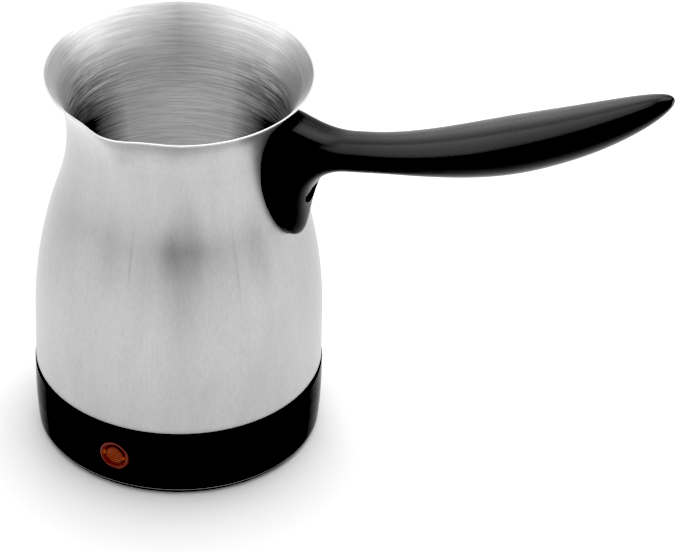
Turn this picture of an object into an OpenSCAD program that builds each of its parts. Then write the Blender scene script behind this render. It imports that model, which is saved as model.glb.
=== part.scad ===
/* [Pot] */
// Outside radius of the belly
belly_r = 50.7; // [47:0.1:56]
// Height at which the straight belly starts to draw in
belly_top_z = 45.8; // [38:0.2:52]
// How far the neck draws in from the belly
neck_inset = 12; // [10:0.1:15]
// Height of the neck
neck_z = 120.2; // [115:0.2:124]
// Share of the shoulder curve that bulges outward, before it turns hollow
shoulder_share = 0.7; // [0.55:0.01:0.8]
// How far the mouth's radius stays short of the belly's
mouth_inset = 4.2; // [2:0.1:7]
// Height of the mouth's edge
mouth_z = 143.4; // [139:0.2:148]
// Thickness of the pot's sheet
sheet = 0.7; // [0.5:0.05:1]
// Step from the belly in to the foot that nests in the base
nest_step = 2.5; // [2:0.1:3]
// Depth of that foot below the step
nest_depth = 4.8; // [4.4:0.1:6]
// Outer corner radius between foot and floor
floor_corner_r = 3; // [2:0.1:3.4]

/* [Spout] */
// Reach of the spout past the mouth
spout_reach = 2.15; // [1:0.05:4]
// Half angle of the spout's flat middle
spout_flat = 1; // [0:0.5:5]
// Half angle at which the spout runs out
spout_half = 14.5; // [12:0.5:18]
// Height on the neck at which the spout starts
spout_foot_z = 117; // [112:0.5:122]
// Depth of the shallow pinch beside the spout
spout_pinch = 0.35; // [0:0.05:0.6]

/* [Handle] */
// Reach of the grip from the neck to its tip
handle_reach = 141.5; // [120:0.5:150]
// Depth of the moulded root, from the neck to where the grip's own section starts
root_depth = 27.3; // [25:0.1:30]
// Height of the grip's centre above the neck where its own section starts
grip_lift = 12; // [10:0.1:14]
// Upward slope of the grip where its own section starts
grip_slope = 14; // [8:0.5:20]
// Radius of the arc that the grip's centre line follows
grip_arc_r = 298; // [240:1:500]
// Width of the grip at its waist
waist_w = 16; // [14.6:0.2:20]
// Thickness of the grip at its waist
waist_t = 12.2; // [10:0.2:15]
// Width of the grip at its widest
palm_w = 23.2; // [20:0.2:28]
// Thickness of the grip at its widest
palm_t = 17.4; // [14:0.2:21]
// Half width of the root along the neck
root_half_w = 10.4; // [9.4:0.1:12]
// Drop of the root's lower tip below the neck
root_drop = 28.2; // [25:0.2:31]
// Drop of the root's top edge below the mouth's edge
root_top_drop = 4.4; // [3.6:0.1:6]
// Gap between the moulded handle and the metal that it fits
handle_gap = 0.15; // [0.1:0.05:0.3]

/* [Handle bracket and screw] */
// Reach of the bracket's plate from the neck
bracket_reach = 6.3; // [5.6:0.1:7]
// Width of the bracket
bracket_w = 11; // [9.6:0.2:11.8]
// Height of the bracket
bracket_h = 17; // [14:0.5:18]
// Drop of the bracket's middle below the neck
bracket_drop = 4.7; // [3.5:0.1:6]
// Sheet of the bracket
bracket_sheet = 1.2; // [1:0.1:1.6]
// Drop of the handle screw's hole below the neck, at the bracket's plate
handle_screw_drop = 7.2; // [6.5:0.1:8]
// Tilt of the handle screw, outer end down
handle_screw_tilt = 15; // [8:1:20]
// Diameter of the handle screw
handle_screw_d = 4; // [3:0.5:4]
// Handle material left between the bracket's plate and the screw's washer
handle_screw_floor = 2.6; // [2.2:0.1:3]

/* [Base housing] */
// Height of the pot's step above the table
base_h = 26.8; // [26:0.1:32]
// Thickness of the seal under the step
gasket_t = 0.5; // [0.3:0.1:0.8]
// How far the housing stands proud of the belly
ring_proud = 0.3; // [0:0.1:1]
// Draft by which the housing's wall leans in towards its lower edge
ring_draft = 1.6; // [1:0.1:2]
// Wall of the housing
wall = 2.2; // [2:0.1:2.6]
// Thickness of the cover's rim, which shows under the housing's lower edge
rim_t = 1.1; // [0.8:0.1:1.4]
// Thickness of the bottom cover
cover_t = 2; // [1.8:0.1:2.6]
// Width of the ledge that the cover seats on
ledge_w = 3.4; // [3:0.1:4]
// Thickness of that ledge
ledge_t = 1.6; // [1.2:0.1:2]
// Gap round the bottom cover
cover_gap = 0.15; // [0.1:0.05:0.3]
// Width of the rubber foot ring
foot_w = 6; // [5:0.5:7]
// Height of the foot ring below the cover
foot_h = 0.5; // [0.4:0.1:1]
// Depth of the foot ring's groove in the cover
foot_recess = 0.8; // [0.5:0.1:1]
// Radius at the middle of the foot ring
foot_circle_r = 34; // [32:0.5:35]

/* [Pot studs and screws] */
// Diameter of the studs that hold the pot to the housing
stud_d = 4; // [3:0.5:4]
// Room between a stud's centre and the pot floor's corner
stud_inset = 2.6; // [2.4:0.1:3]
// Thickness of the housing's lugs
lug_t = 3; // [2.4:0.1:3.4]
// Gap between a lug and the pot's floor
lug_gap = 3; // [2.8:0.1:3.6]
// Diameter of the cover screws and the clamp screws
screw_d = 3; // [2.5:0.1:3]
// Running clearance on the radius of a screw in its hole
thread_gap = 0.05; // [0.02:0.01:0.1]

/* [Heater] */
// Thickness of the aluminium heat plate
plate_t = 2.5; // [2:0.1:3]
// Gap between the heat plate's edge and the studs
plate_gap = 3.4; // [2.8:0.1:4]
// Diameter of the tubular element
tube_d = 6.4; // [5.6:0.1:6.8]
// Radius of the element's ring, at the middle of the tube
tube_ring_r = 28; // [26:0.5:28.5]
// Depth of the groove in the heat plate that the tube is pressed into
tube_groove = 0.8; // [0.5:0.1:1.2]
// Opening angle between the element's two ends
tube_open_angle = 70; // [64:1:80]
// Bend radius of the element's ends
tube_bend_r = 5.5; // [5:0.1:6]

/* [Thermostat] */
// Outside radius of the thermostat's metal cap
cap_r = 8.6; // [8.2:0.1:9]
// Height of the cap
cap_h = 3.2; // [3:0.1:3.4]
// Sheet of the cap
cap_sheet = 0.5; // [0.4:0.05:0.6]
// Depth of the thermostat's body below the cap
body_drop = 6.8; // [6.6:0.1:7.4]
// Length of the contact arm, from its root to the push pin
arm_lever = 5; // [4.6:0.1:5]
// Diameter of the push pin
pin_d = 1.6; // [1.2:0.1:1.8]
// Travel of the push pin
pin_travel = 0.5; // [0.3:0.05:0.6]
// Half distance between the thermostat's two screws
clamp_half = 12; // [11.8:0.1:13]

/* [Lamp] */
// Drop of the lamp's centre below the pot's floor
lamp_drop = 8.1; // [7.6:0.1:9.4]
// Turn of the lamp round the base, away from the spout's middle
lamp_turn = 2.5; // [-5:0.5:5]
// Diameter of the lens flange
lens_d = 11.8; // [11:0.1:12.4]
// Diameter of the lamp's barrel
barrel_d = 9.8; // [9:0.1:10]
// Length of the lamp from the lens seat to the end of its barrel
barrel_len = 10; // [9:0.1:10.4]
// Depth of the spot face that the lens flange seats in
spot_depth = 0.7; // [0.5:0.1:0.9]

/* [Cord entry] */
// Height of the cord entry's centre
gland_z = 12.5; // [12:0.1:13.5]
// Diameter of the cord that the entry takes
cord_d = 7; // [5:0.1:7]
// Diameter of the hole in the housing
gland_hole_d = 11.6; // [10.4:0.1:12]
// Diameter of the gland's outer flange
gland_flange_d = 15.2; // [14:0.1:16]

/* [Wiring] */
// Diameter of the insulated leads to the heater
lead_d = 2.2; // [1.6:0.1:2.4]
// Diameter of the lamp's leads
lamp_lead_d = 1.6; // [1:0.1:1.8]

/* [Hidden] */
$fn = 96;
EPS = 0.01;
SIDES = 28;

// ---- colours ----
STEEL = [0.78, 0.78, 0.77];
ZINC = [0.66, 0.67, 0.68];
BRASS = [0.80, 0.65, 0.32];
COPPER = [0.76, 0.45, 0.30];
ALUMINIUM = [0.82, 0.83, 0.84];
BLACK = [0.06, 0.06, 0.065];
DARK = [0.12, 0.12, 0.12];
RUBBER = [0.10, 0.10, 0.10];
PHENOLIC = [0.30, 0.17, 0.10];
NYLON = [0.90, 0.89, 0.84];
AMBER = [0.85, 0.28, 0.06];
SILICONE = [0.35, 0.33, 0.32];

// ---- pot outline ----
neck_r = belly_r - neck_inset;
mouth_r = belly_r - mouth_inset;
// The shoulder is two arcs, tangent to each other and upright at both ends.
shoulder_angle = 2 * atan((belly_r - neck_r) / (neck_z - belly_top_z));
shoulder_sum = (neck_z - belly_top_z) / sin(shoulder_angle);
bulge_arc_r = shoulder_sum * shoulder_share;
hollow_arc_r = shoulder_sum - bulge_arc_r;
turn_z = belly_top_z + bulge_arc_r * sin(shoulder_angle);
// The flare opens first by its square and near the edge by its fifth power.
FLARE_SQUARE = 0.67;
flare_w = mouth_r - neck_r;
flare_h = mouth_z - neck_z;
function flare_v(z) = (z - neck_z) / flare_h;
function body_r(z) =
    z <= belly_top_z ? belly_r :
    z <= turn_z ? belly_r - bulge_arc_r + sqrt(pow(bulge_arc_r, 2) - pow(z - belly_top_z, 2)) :
    z <= neck_z ? neck_r + hollow_arc_r - sqrt(pow(hollow_arc_r, 2) - pow(neck_z - z, 2)) :
    neck_r + flare_w * (FLARE_SQUARE * pow(flare_v(z), 2)
                        + (1 - FLARE_SQUARE) * pow(flare_v(z), 5));
function body_lean(z) = atan((body_r(z + EPS) - body_r(z - EPS)) / (2 * EPS));
SHOULDER_STEPS = 6;
HOLLOW_STEPS = 4;
FLARE_STEPS = 8;
bulge_zs = [for (i = [0:SHOULDER_STEPS]) belly_top_z + (turn_z - belly_top_z) * i / SHOULDER_STEPS];
hollow_zs = [for (i = [1:HOLLOW_STEPS]) turn_z + (spout_foot_z - turn_z) * i / HOLLOW_STEPS];
flare_zs = [for (i = [1:FLARE_STEPS])
            spout_foot_z + (mouth_z - spout_foot_z) * (1 - pow(1 - i / FLARE_STEPS, 1.25))];
// Share of the spout's reach that the sheet has at a height
function spout_up(z) = pow(max(z - spout_foot_z, 0) / (mouth_z - spout_foot_z), 1.6);
// Radius, height and spout share of a point of the sheet, at a depth below its outer face
function sheet_point(z, depth) =
    [body_r(z) - depth * cos(body_lean(z)), z + depth * sin(body_lean(z)), spout_up(z)];
wall_zs = concat(bulge_zs, hollow_zs, flare_zs);

// ---- heights and radii in the base ----
floor_z = base_h - nest_depth;
lamp_z = floor_z - lamp_drop;
nest_r = belly_r - nest_step;
floor_flat_r = nest_r - floor_corner_r;
stud_r = floor_flat_r - stud_inset;
STUD_ANGLES = [60, 180, 300];
COVER_SCREW_ANGLES = [0, 120, 240];
EARTH_ANGLE = 60;
ring_r = belly_r + ring_proud;
ring_low_r = ring_r - ring_draft;
ring_top_z = base_h - gasket_t;
seam_z = foot_h + rim_t + 0.08;
// Outside and inside radius of the housing's wall at a height
function ring_at(z) = ring_r - ring_draft * (ring_top_z - z) / (ring_top_z - seam_z);
function inside_at(z) = ring_at(z) - wall;
inner_r = ring_low_r - wall;
cover_top_z = foot_h + cover_t;
cover_r = inner_r - 1.4;
ledge_r = inner_r - ledge_w;
boss_d = 7.2;
boss_r = ledge_r - 1.2;
boss_low_z = cover_top_z + 0.2;
cover_screw_len = 3.2 * screw_d;
boss_top_z = cover_top_z + cover_screw_len + 1.4;
lug_top_z = floor_z - lug_gap;
lug_z = lug_top_z - lug_t;
lug_w = 10;
washer_t = 0.8;
tag_t = 0.8;
nut_h = 3.2;
nut_af = 7 * stud_d / 4;
stud_tail = 1.2;

// ---- heater and thermostat stack, hung from the pot's floor ----
plate_r = stud_r - stud_d / 2 - plate_gap;
plate_z = floor_z - plate_t;
tube_r = tube_d / 2;
tube_z = plate_z - tube_r + tube_groove;
tube_end_angle = 90 - tube_open_angle / 2;
tube_tail = 1;
tube_end_z = tube_z - tube_bend_r - tube_tail;
seal_h = 1.2;
pin_len = 1.6;
blade_w = 6.3;
blade_t = 0.8;
terminal_w = 7.4;
terminal_h = 2.4;
terminal_len = 7;
terminal_back = 0.8;
blade_len = terminal_len + 0.6;
cap_z = plate_z - cap_h;
cap_in_r = cap_r - cap_sheet;
case_r = cap_in_r - 0.4;
seat_z = cap_z + 1.3;
recess_z = seat_z - 1;
web_t = 1.5;
chamber_top_z = recess_z - web_t;
chamber_r = case_r - 1.7;
case_z = cap_z - body_drop;
chamber_z = case_z + 1.8;
right_blade_z = chamber_top_z - blade_t;
contact_h = 0.5;
contact_r = 1.2;
arm_t = 0.3;
arm_w = 3;
arm_top_z = right_blade_z - 2 * contact_h;
arm_z = arm_top_z - arm_t;
contact_x = 4.4;
arm_end_x = contact_x + contact_r;
arm_root = 0.6;
ear_lip = 0.6;
blade_reach = cap_r + ear_lip + 0.4 + terminal_len - terminal_back;
disc_r = case_r - 0.5;
disc_t = 0.25;
disc_rise = 0.9;
contact_slack = 0.03;
ear_t = 0.8;
ear_r = 3.4;
clamp_screw_head = 0.6 * screw_d;
spreader_bite = plate_t - 0.5;

// ---- small wiring values ----
fuse_r = 2;
fuse_len = 11;
fuse_x = -(tube_ring_r - tube_r - 5.3);
fuse_tail = 4.5;
fuse_z = plate_z - fuse_r - contact_slack;
fuse_screw_x = fuse_x + 5.4;
clip_t = 0.55;
clip_w = 5;
clip_foot_t = 0.8;

// ---- shared shapes ----
// Skin over a list of closed rings, with a flat cap over each end ring
module skin(rings) {
    n = len(rings[0]);
    m = len(rings);
    polyhedron(
        points = [for (ring = rings) each ring],
        faces = concat(
            [[for (i = [0:n - 1]) i]],
            [for (j = [0:m - 2], i = [0:n - 1])
                let (a = j * n + i, b = j * n + (i + 1) % n) each [[a, a + n, b + n], [a, b + n, b]]],
            [[for (i = [n - 1:-1:0]) (m - 1) * n + i]]
        ),
        convexity = 8
    );
}
// Skin over rings whose two ends close to a point
module skin_to_points(rings, first, last) {
    n = len(rings[0]);
    m = len(rings);
    polyhedron(
        points = concat([first], [for (ring = rings) each ring], [last]),
        faces = concat(
            [for (i = [0:n - 1]) [0, 1 + i, 1 + (i + 1) % n]],
            [for (j = [0:m - 2], i = [0:n - 1])
                let (a = 1 + j * n + i, b = 1 + j * n + (i + 1) % n)
                each [[a, a + n, b + n], [a, b + n, b]]],
            [for (i = [0:n - 1]) [1 + m * n, 1 + (m - 1) * n + (i + 1) % n, 1 + (m - 1) * n + i]]
        ),
        convexity = 8
    );
}
// Tube along the points of a lead, straight at both ends and never parallel to a reference line
function unit(v) = v / norm(v);
function heading(path, i) = unit(path[min(i + 1, len(path) - 1)] - path[max(i - 1, 0)]);
LEAD_SIDES = 8;
function lead_ring(path, i, r, line) =
    let (t = heading(path, i), side = unit(cross(t, line)), rise = cross(side, t))
    [for (k = [0:LEAD_SIDES - 1]) let (a = -360 * k / LEAD_SIDES)
        path[i] + r * cos(a) * side + r * sin(a) * rise];
function blend_point(p, i, u) =
    let (a = p[i - 1], b = p[i], c = p[i + 1], d = p[i + 2])
    0.5 * (2 * b + (c - a) * u + (2 * a - 5 * b + 4 * c - d) * u * u
           + (3 * b - a - 3 * c + d) * u * u * u);
LEAD_STEPS = 3;
function smooth_path(p) = concat(
    [p[0]],
    [for (i = [1:len(p) - 3], k = [0:LEAD_STEPS - 1]) blend_point(p, i, k / LEAD_STEPS)],
    [p[len(p) - 2], p[len(p) - 1]]);
module lead(points, d, line = [0, 0, 1]) {
    path = smooth_path(points);
    skin([for (i = [0:len(path) - 1]) lead_ring(path, i, d / 2, line)]);
}
// Ring of rectangular section
module ring(r_out, r_in, z, h) {
    difference() {
        translate([0, 0, z]) cylinder(r = r_out, h = h);
        translate([0, 0, z - EPS]) cylinder(r = r_in, h = h + 2 * EPS);
    }
}
// Screw that points up: pan head with a cross recess, its head's face at z
module screw_up(z, d, head_r, head_h, shank) {
    recess_w = d * 0.3;
    recess_len = head_r * 1.1;
    difference() {
        union() {
            rotate_extrude() polygon([
                [0, z - head_h], [head_r * 0.7, z - head_h], [head_r, z - head_h * 0.55],
                [head_r, z], [d / 2, z], [d / 2, z + shank - d * 0.2],
                [d * 0.3, z + shank], [0, z + shank]]);
        }
        for (a = [0, 90])
            rotate([0, 0, a])
                translate([-recess_len / 2, -recess_w / 2, z - head_h - EPS])
                    cube([recess_len, recess_w, head_h * 0.6]);
    }
}
// Frame in which +Z runs outward along the lamp's axis, at the front of the base
module at_lamp() { rotate([0, 0, lamp_turn]) translate([0, 0, lamp_z]) rotate([90, 0, 0]) children(); }
// Frame in which +Z runs outward along the cord entry's axis, at the back of the base
module at_gland() { translate([0, 0, gland_z]) rotate([-90, 0, 0]) children(); }

// ---- pot ----
// Reach of the spout at an angle from its middle, with a shallow pinch beside it
function ease(u) = let (v = min(max(u, 0), 1)) v * v * (3 - 2 * v);
PINCH_HALF = 11;
pinch_angle = spout_half + 4.5;
function spout_across(a) =
    spout_reach * ease((spout_half - abs(a)) / (spout_half - spout_flat))
    - spout_pinch * ease(1 - abs(abs(a) - pinch_angle) / PINCH_HALF);
// Columns round the pot: fine across the spout and wider over the rest
SPOUT_COLUMNS = 24;
PLAIN_COLUMNS = 38;
spout_edge = pinch_angle + PINCH_HALF;
pot_angles = concat(
    [for (i = [0:SPOUT_COLUMNS - 1]) -spout_edge + 2 * spout_edge * i / SPOUT_COLUMNS],
    [for (i = [0:PLAIN_COLUMNS - 1]) spout_edge + (360 - 2 * spout_edge) * i / PLAIN_COLUMNS]);
function pot_ring(p) = [for (a = pot_angles)
    let (r = p[0] + spout_across(a) * p[2]) [r * sin(a), -r * cos(a), p[1]]];
CORNER_STEPS = 3;
function corner(r) = [for (i = [0:CORNER_STEPS]) let (a = -90 + 90 * i / CORNER_STEPS)
    [floor_flat_r + r * cos(a), floor_z + floor_corner_r + r * sin(a), 0]];
// One face of the sheet from the floor's corner to the mouth
function pot_line(depth) = concat(
    corner(floor_corner_r - depth),
    [[nest_r - depth, base_h + depth, 0], [belly_r - depth, base_h + depth, 0]],
    [for (z = wall_zs) sheet_point(z, depth)]);
function reversed(list) = [for (i = [len(list) - 1:-1:0]) list[i]];

module pot_vessel() {
    color(STEEL)
        skin_to_points(
            [for (p = concat(pot_line(0), reversed(pot_line(sheet)))) pot_ring(p)],
            [0, 0, floor_z], [0, 0, floor_z + sheet]);
}

// ---- handle ----
root_mid_z = neck_z - 2.2;
root_top_z = mouth_z - root_top_drop;
root_low_z = neck_z - root_drop;
grip_x = neck_r + root_depth;
grip_z = neck_z + grip_lift;
tip_x = neck_r + handle_reach;
waist_x = grip_x + 6;
palm_x = grip_x + (tip_x - grip_x) * 0.53;
TOP_FLATNESS = 2.6;
UNDER_ROUNDNESS = 2.2;
ROOT_TOP_SQUARENESS = 4;
ROOT_TIP_POINT = 1.8;
function spow(c, e) = sign(c) * pow(abs(c), e);
// Outline on the pot, shrunk by k towards its middle
function root_point(a, k) =
    let (e = 2 / (sin(a) > 0 ? ROOT_TOP_SQUARENESS : ROOT_TIP_POINT),
         across = k * root_half_w * spow(cos(a), e),
         half_h = sin(a) > 0 ? root_top_z - root_mid_z : root_mid_z - root_low_z,
         z = root_mid_z + k * half_h * spow(sin(a), e),
         r = body_r(z) + handle_gap,
         turn = across / r * 180 / PI)
    [r * cos(turn), r * sin(turn), z];
// The grip's centre line is an arc; its slope is the parameter
tip_slope = asin(sin(grip_slope) + (tip_x - grip_x) / grip_arc_r);
function grip_centre(slope) = [grip_x + grip_arc_r * (sin(slope) - sin(grip_slope)), 0,
                               grip_z + grip_arc_r * (cos(grip_slope) - cos(slope))];
// Swell from waist to palm, and closing curve from palm to tip
function swell(x) = ease((x - waist_x) / (palm_x - waist_x));
function closing(x) = pow(max(1 - pow(max(x - palm_x, 0) / (tip_x - palm_x), 1.7), 0), 0.48);
function grip_point(a, slope) =
    let (c = grip_centre(slope),
         e = 2 / (sin(a) > 0 ? TOP_FLATNESS : UNDER_ROUNDNESS),
         half_w = (waist_w + (palm_w - waist_w) * swell(c[0])) / 2 * closing(c[0]),
         half_t = (waist_t + (palm_t - waist_t) * swell(c[0])) / 2 * closing(c[0]),
         across = half_w * spow(cos(a), e),
         out = half_t * spow(sin(a), e))
    c + [-out * sin(slope), across, out * cos(slope)];
// The root's surface: one cubic from each point of the outline to the grip's first section
function root_bend(a, t) =
    let (under = pow(max(-sin(a), 0), 1.5),
         p0 = root_point(a, 1),
         p3 = grip_point(a, grip_slope),
         p1 = p0 + root_depth * [0.183 - 0.037 * max(sin(a), 0) + 0.158 * under, 0, 0],
         p2 = p3 - root_depth * (0.366 + 0.385 * under) * [cos(grip_slope), 0, sin(grip_slope)])
    pow(1 - t, 3) * p0 + 3 * t * pow(1 - t, 2) * p1 + 3 * t * t * (1 - t) * p2 + pow(t, 3) * p3;
side_angles = [for (i = [0:SIDES - 1]) 360 * (i + 0.5) / SIDES];
INNER_RINGS = [0.45, 0.75, 0.95];
ROOT_RINGS = 10;
GRIP_RINGS = 17;
handle_rings = concat(
    [for (k = INNER_RINGS) [for (a = side_angles) root_point(a, k)]],
    [for (j = [0:ROOT_RINGS - 1]) [for (a = side_angles) root_bend(a, j / ROOT_RINGS)]],
    [for (j = [0:GRIP_RINGS - 1])
        let (s = 1 - pow(1 - j / GRIP_RINGS, 1.6))
        [for (a = side_angles) grip_point(a, grip_slope + (tip_slope - grip_slope) * s)]]);

bracket_x = neck_r + bracket_reach;
bracket_mid_z = neck_z - bracket_drop;
// Frame of the handle screw: origin at the bracket's plate, +Z inward along the screw
module at_handle_screw() {
    translate([bracket_x, 0, neck_z - handle_screw_drop])
        rotate([0, -90 + handle_screw_tilt, 0]) children();
}
handle_washer_t = 0.8;
handle_washer_r = 3.6;
handle_head_r = 3.4;
handle_head_h = 2.4;
handle_screw_len = 8;
access_r = handle_washer_r + 0.3;

module handle() {
    pocket_h = bracket_h + 2 * handle_gap;
    pocket_w = bracket_w + 2 * handle_gap;
    color(BLACK)
        difference() {
            skin_to_points(handle_rings, root_point(0, 0), grip_centre(tip_slope));
            translate([0, -pocket_w / 2, bracket_mid_z - pocket_h / 2])
                cube([bracket_x + handle_gap, pocket_w, pocket_h]);
            at_handle_screw() translate([0, 0, -handle_screw_floor - root_depth]) {
                cylinder(r = access_r, h = root_depth);
                cylinder(d = handle_screw_d + 0.3,
                         h = root_depth + handle_screw_floor + 2 * bracket_sheet);
            }
        }
}
module handle_bracket() {
    depth = bracket_reach + 3;
    collar_r = handle_screw_d / 2 + 1.5;
    weld_gap = 0.02;
    color(ZINC)
        difference() {
            union() {
                difference() {
                    translate([bracket_x - depth, -bracket_w / 2, bracket_mid_z - bracket_h / 2])
                        cube([depth, bracket_w, bracket_h]);
                    translate([bracket_x - depth - EPS, -bracket_w / 2 + bracket_sheet,
                               bracket_mid_z - bracket_h / 2 - EPS])
                        cube([depth - bracket_sheet + EPS, bracket_w - 2 * bracket_sheet,
                              bracket_h + 2 * EPS]);
                }
                at_handle_screw() translate([0, 0, 0.6]) cylinder(r = collar_r, h = 2.6);
            }
            at_handle_screw()
                translate([0, 0, -2 * handle_screw_d])
                    cylinder(r = handle_screw_d / 2 + thread_gap, h = 4 * handle_screw_d);
            rotate_extrude() polygon(concat(
                [[0, belly_top_z]], [for (z = wall_zs) [body_r(z) + weld_gap, z]],
                [[0, mouth_z]]));
        }
}
module handle_screw() {
    color(ZINC)
        at_handle_screw()
            screw_up(-handle_screw_floor - handle_washer_t, handle_screw_d, handle_head_r,
                     handle_head_h, handle_screw_len);
}
module handle_washer() {
    color(ZINC)
        at_handle_screw()
            ring(handle_washer_r, handle_screw_d / 2 + 0.1,
                 -handle_screw_floor - handle_washer_t, handle_washer_t);
}

// ---- pot fixings ----
module at_studs() {
    for (a = STUD_ANGLES) rotate([0, 0, a]) translate([stud_r, 0, 0]) children();
}
module vessel_studs() {
    tail_z = lug_z - washer_t - tag_t - nut_h - stud_tail;
    weld_r = stud_d / 2 + 0.5;
    color(ZINC)
        at_studs() {
            translate([0, 0, tail_z]) cylinder(d = stud_d, h = floor_z - tail_z);
            translate([0, 0, floor_z - 0.8]) cylinder(r = weld_r, h = 0.8);
        }
}
module stud_washers() {
    color(ZINC)
        at_studs() ring(stud_d + 0.5, stud_d / 2 + thread_gap, lug_z - washer_t, washer_t);
}
function nut_top(a) = lug_z - washer_t - (a == EARTH_ANGLE ? tag_t : 0);
module stud_nuts() {
    color(ZINC)
        for (a = STUD_ANGLES)
            rotate([0, 0, a]) translate([stud_r, 0, nut_top(a) - nut_h])
                difference() {
                    cylinder(d = nut_af / cos(30), h = nut_h, $fn = 6);
                    translate([0, 0, -EPS])
                        cylinder(d = stud_d + 2 * thread_gap, h = nut_h + 2 * EPS);
                }
}
module earth_tag() {
    tag_z = lug_z - washer_t - tag_t;
    color(BRASS)
        rotate([0, 0, EARTH_ANGLE]) translate([stud_r, 0, tag_z]) rotate([0, 0, 90])
            difference() {
                union() {
                    cylinder(r = stud_d + 0.4, h = tag_t);
                    translate([-stud_d - blade_len, -blade_w / 2, 0])
                        cube([blade_len + stud_d, blade_w, tag_t]);
                }
                translate([0, 0, -EPS])
                    cylinder(d = stud_d + 2 * thread_gap, h = tag_t + 2 * EPS);
            }
}
module vessel_gasket() {
    color(SILICONE) ring(belly_r - 0.4, nest_r + 0.15, ring_top_z, gasket_t);
}

// ---- heater ----
module heat_spreader() {
    color(ALUMINIUM)
        difference() {
            translate([0, 0, plate_z]) cylinder(r = plate_r, h = plate_t);
            rotate_extrude() translate([tube_ring_r, tube_z]) circle(r = tube_r + thread_gap);
            for (s = [-1, 1])
                translate([0, s * clamp_half, plate_z - EPS])
                    cylinder(d = screw_d + 2 * thread_gap, h = spreader_bite + EPS);
            translate([fuse_screw_x, 0, plate_z - EPS])
                cylinder(d = screw_d + 2 * thread_gap, h = spreader_bite + EPS);
        }
}
// Frame at an end of the element's ring: x outward, y along the tube past its end
module at_tube_ends() {
    for (m = [0, 1])
        mirror([m, 0, 0]) rotate([0, 0, tube_end_angle]) translate([tube_ring_r, 0, 0]) children();
}
module heating_element() {
    // the bent ends are sleeves, a shade wider than the tube, that its ends run into
    sleeve_r = tube_r + 0.04;
    lap = 1.6;
    sleeve_lap = 1;
    color(ZINC) {
        rotate([0, 0, 90 + (tube_open_angle - lap) / 2])
            rotate_extrude(angle = 360 - tube_open_angle + lap)
                translate([tube_ring_r, tube_z]) circle(r = tube_r);
        at_tube_ends() {
            translate([0, -sleeve_lap, tube_z])
                rotate([-90, 0, 0]) cylinder(r = sleeve_r, h = sleeve_lap);
            translate([0, 0, tube_z - tube_bend_r])
                rotate([0, 90, 0]) rotate([0, 0, 90])
                    rotate_extrude(angle = 90) translate([tube_bend_r, 0]) circle(r = sleeve_r);
            translate([0, tube_bend_r, tube_end_z]) cylinder(r = sleeve_r, h = tube_tail);
        }
    }
}
module element_seals() {
    color(NYLON)
        at_tube_ends() translate([0, tube_bend_r, 0])
            ring(tube_r - 0.2, 1.15 + thread_gap, tube_end_z - seal_h, seal_h);
}
// Where an element pin stands, and the height of its blade
pin_x = tube_ring_r * cos(tube_end_angle) - tube_bend_r * sin(tube_end_angle);
pin_y = tube_ring_r * sin(tube_end_angle) + tube_bend_r * cos(tube_end_angle);
pin_blade_z = tube_end_z - seal_h - pin_len;
module element_pins() {
    color(ZINC)
        for (s = [-1, 1])
            translate([s * pin_x, pin_y, 0]) {
                translate([0, 0, pin_blade_z + blade_t / 2])
                    cylinder(r = 1.15, h = tube_end_z - pin_blade_z - blade_t / 2);
                translate([-blade_w / 2, -blade_len, pin_blade_z])
                    cube([blade_w, blade_len + 2, blade_t]);
            }
}

// ---- thermostat ----
module thermostat_cap() {
    color(ALUMINIUM)
        difference() {
            translate([0, 0, cap_z]) cylinder(r = cap_r, h = cap_h);
            translate([0, 0, cap_z - EPS]) cylinder(r = cap_in_r, h = cap_h - cap_sheet + EPS);
        }
}
module thermostat_body() {
    color(PHENOLIC)
        difference() {
            translate([0, 0, case_z]) cylinder(r = case_r, h = seat_z - case_z);
            translate([0, 0, recess_z]) cylinder(r = case_r - 1.1, h = seat_z - recess_z + EPS);
            translate([0, 0, recess_z - web_t - EPS])
                cylinder(d = pin_d + 0.16, h = web_t + 2 * EPS);
            translate([0, 0, chamber_z]) cylinder(r = chamber_r, h = chamber_top_z - chamber_z);
            translate([chamber_r - 1, -blade_w / 2, right_blade_z]) cube([9, blade_w, blade_t]);
            translate([-chamber_r - 8, -blade_w / 2, arm_z - blade_t]) cube([9, blade_w, blade_t]);
        }
}
// Domed bimetal disc, its edge on the body's seat
module bimetal_disc() {
    dome_r = (pow(disc_r, 2) + pow(disc_rise, 2)) / (2 * disc_rise);
    half = asin(disc_r / dome_r);
    steps = 8;
    color(COPPER)
        translate([0, 0, seat_z + disc_rise - dome_r])
            rotate_extrude() polygon(concat(
                [for (i = [0:steps]) dome_r * [sin(half * i / steps), cos(half * i / steps)]],
                [for (i = [steps:-1:0])
                    (dome_r + disc_t) * [sin(half * i / steps), cos(half * i / steps)]]));
}
module push_pin() {
    low_z = arm_top_z + contact_slack;
    top_z = seat_z + disc_rise - contact_slack;
    color(NYLON)
        translate([0, 0, low_z])
            rotate_extrude() polygon(concat(
                [for (a = [0:15:90]) pin_d / 2 * [sin(a), 1 - cos(a)]],
                [[pin_d / 2, top_z - low_z], [0, top_z - low_z]]));
}
module contact_arm() {
    color(BRASS) {
        translate([-arm_lever - arm_root, -arm_w / 2, arm_z])
            cube([arm_end_x + arm_lever + arm_root, arm_w, arm_t]);
        translate([contact_x, 0, arm_top_z]) cylinder(r = contact_r, h = contact_h);
    }
}
module fixed_contact() {
    color(STEEL)
        translate([contact_x, 0, right_blade_z - contact_h]) cylinder(r = contact_r, h = contact_h);
}
module thermostat_tabs() {
    left_in = -arm_lever;
    right_in = contact_x - contact_r - 0.6;
    color(BRASS) {
        translate([right_in, -blade_w / 2, right_blade_z])
            cube([blade_reach - right_in, blade_w, blade_t]);
        translate([-blade_reach, -blade_w / 2, arm_z - blade_t])
            cube([blade_reach + left_in, blade_w, blade_t]);
    }
}
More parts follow.
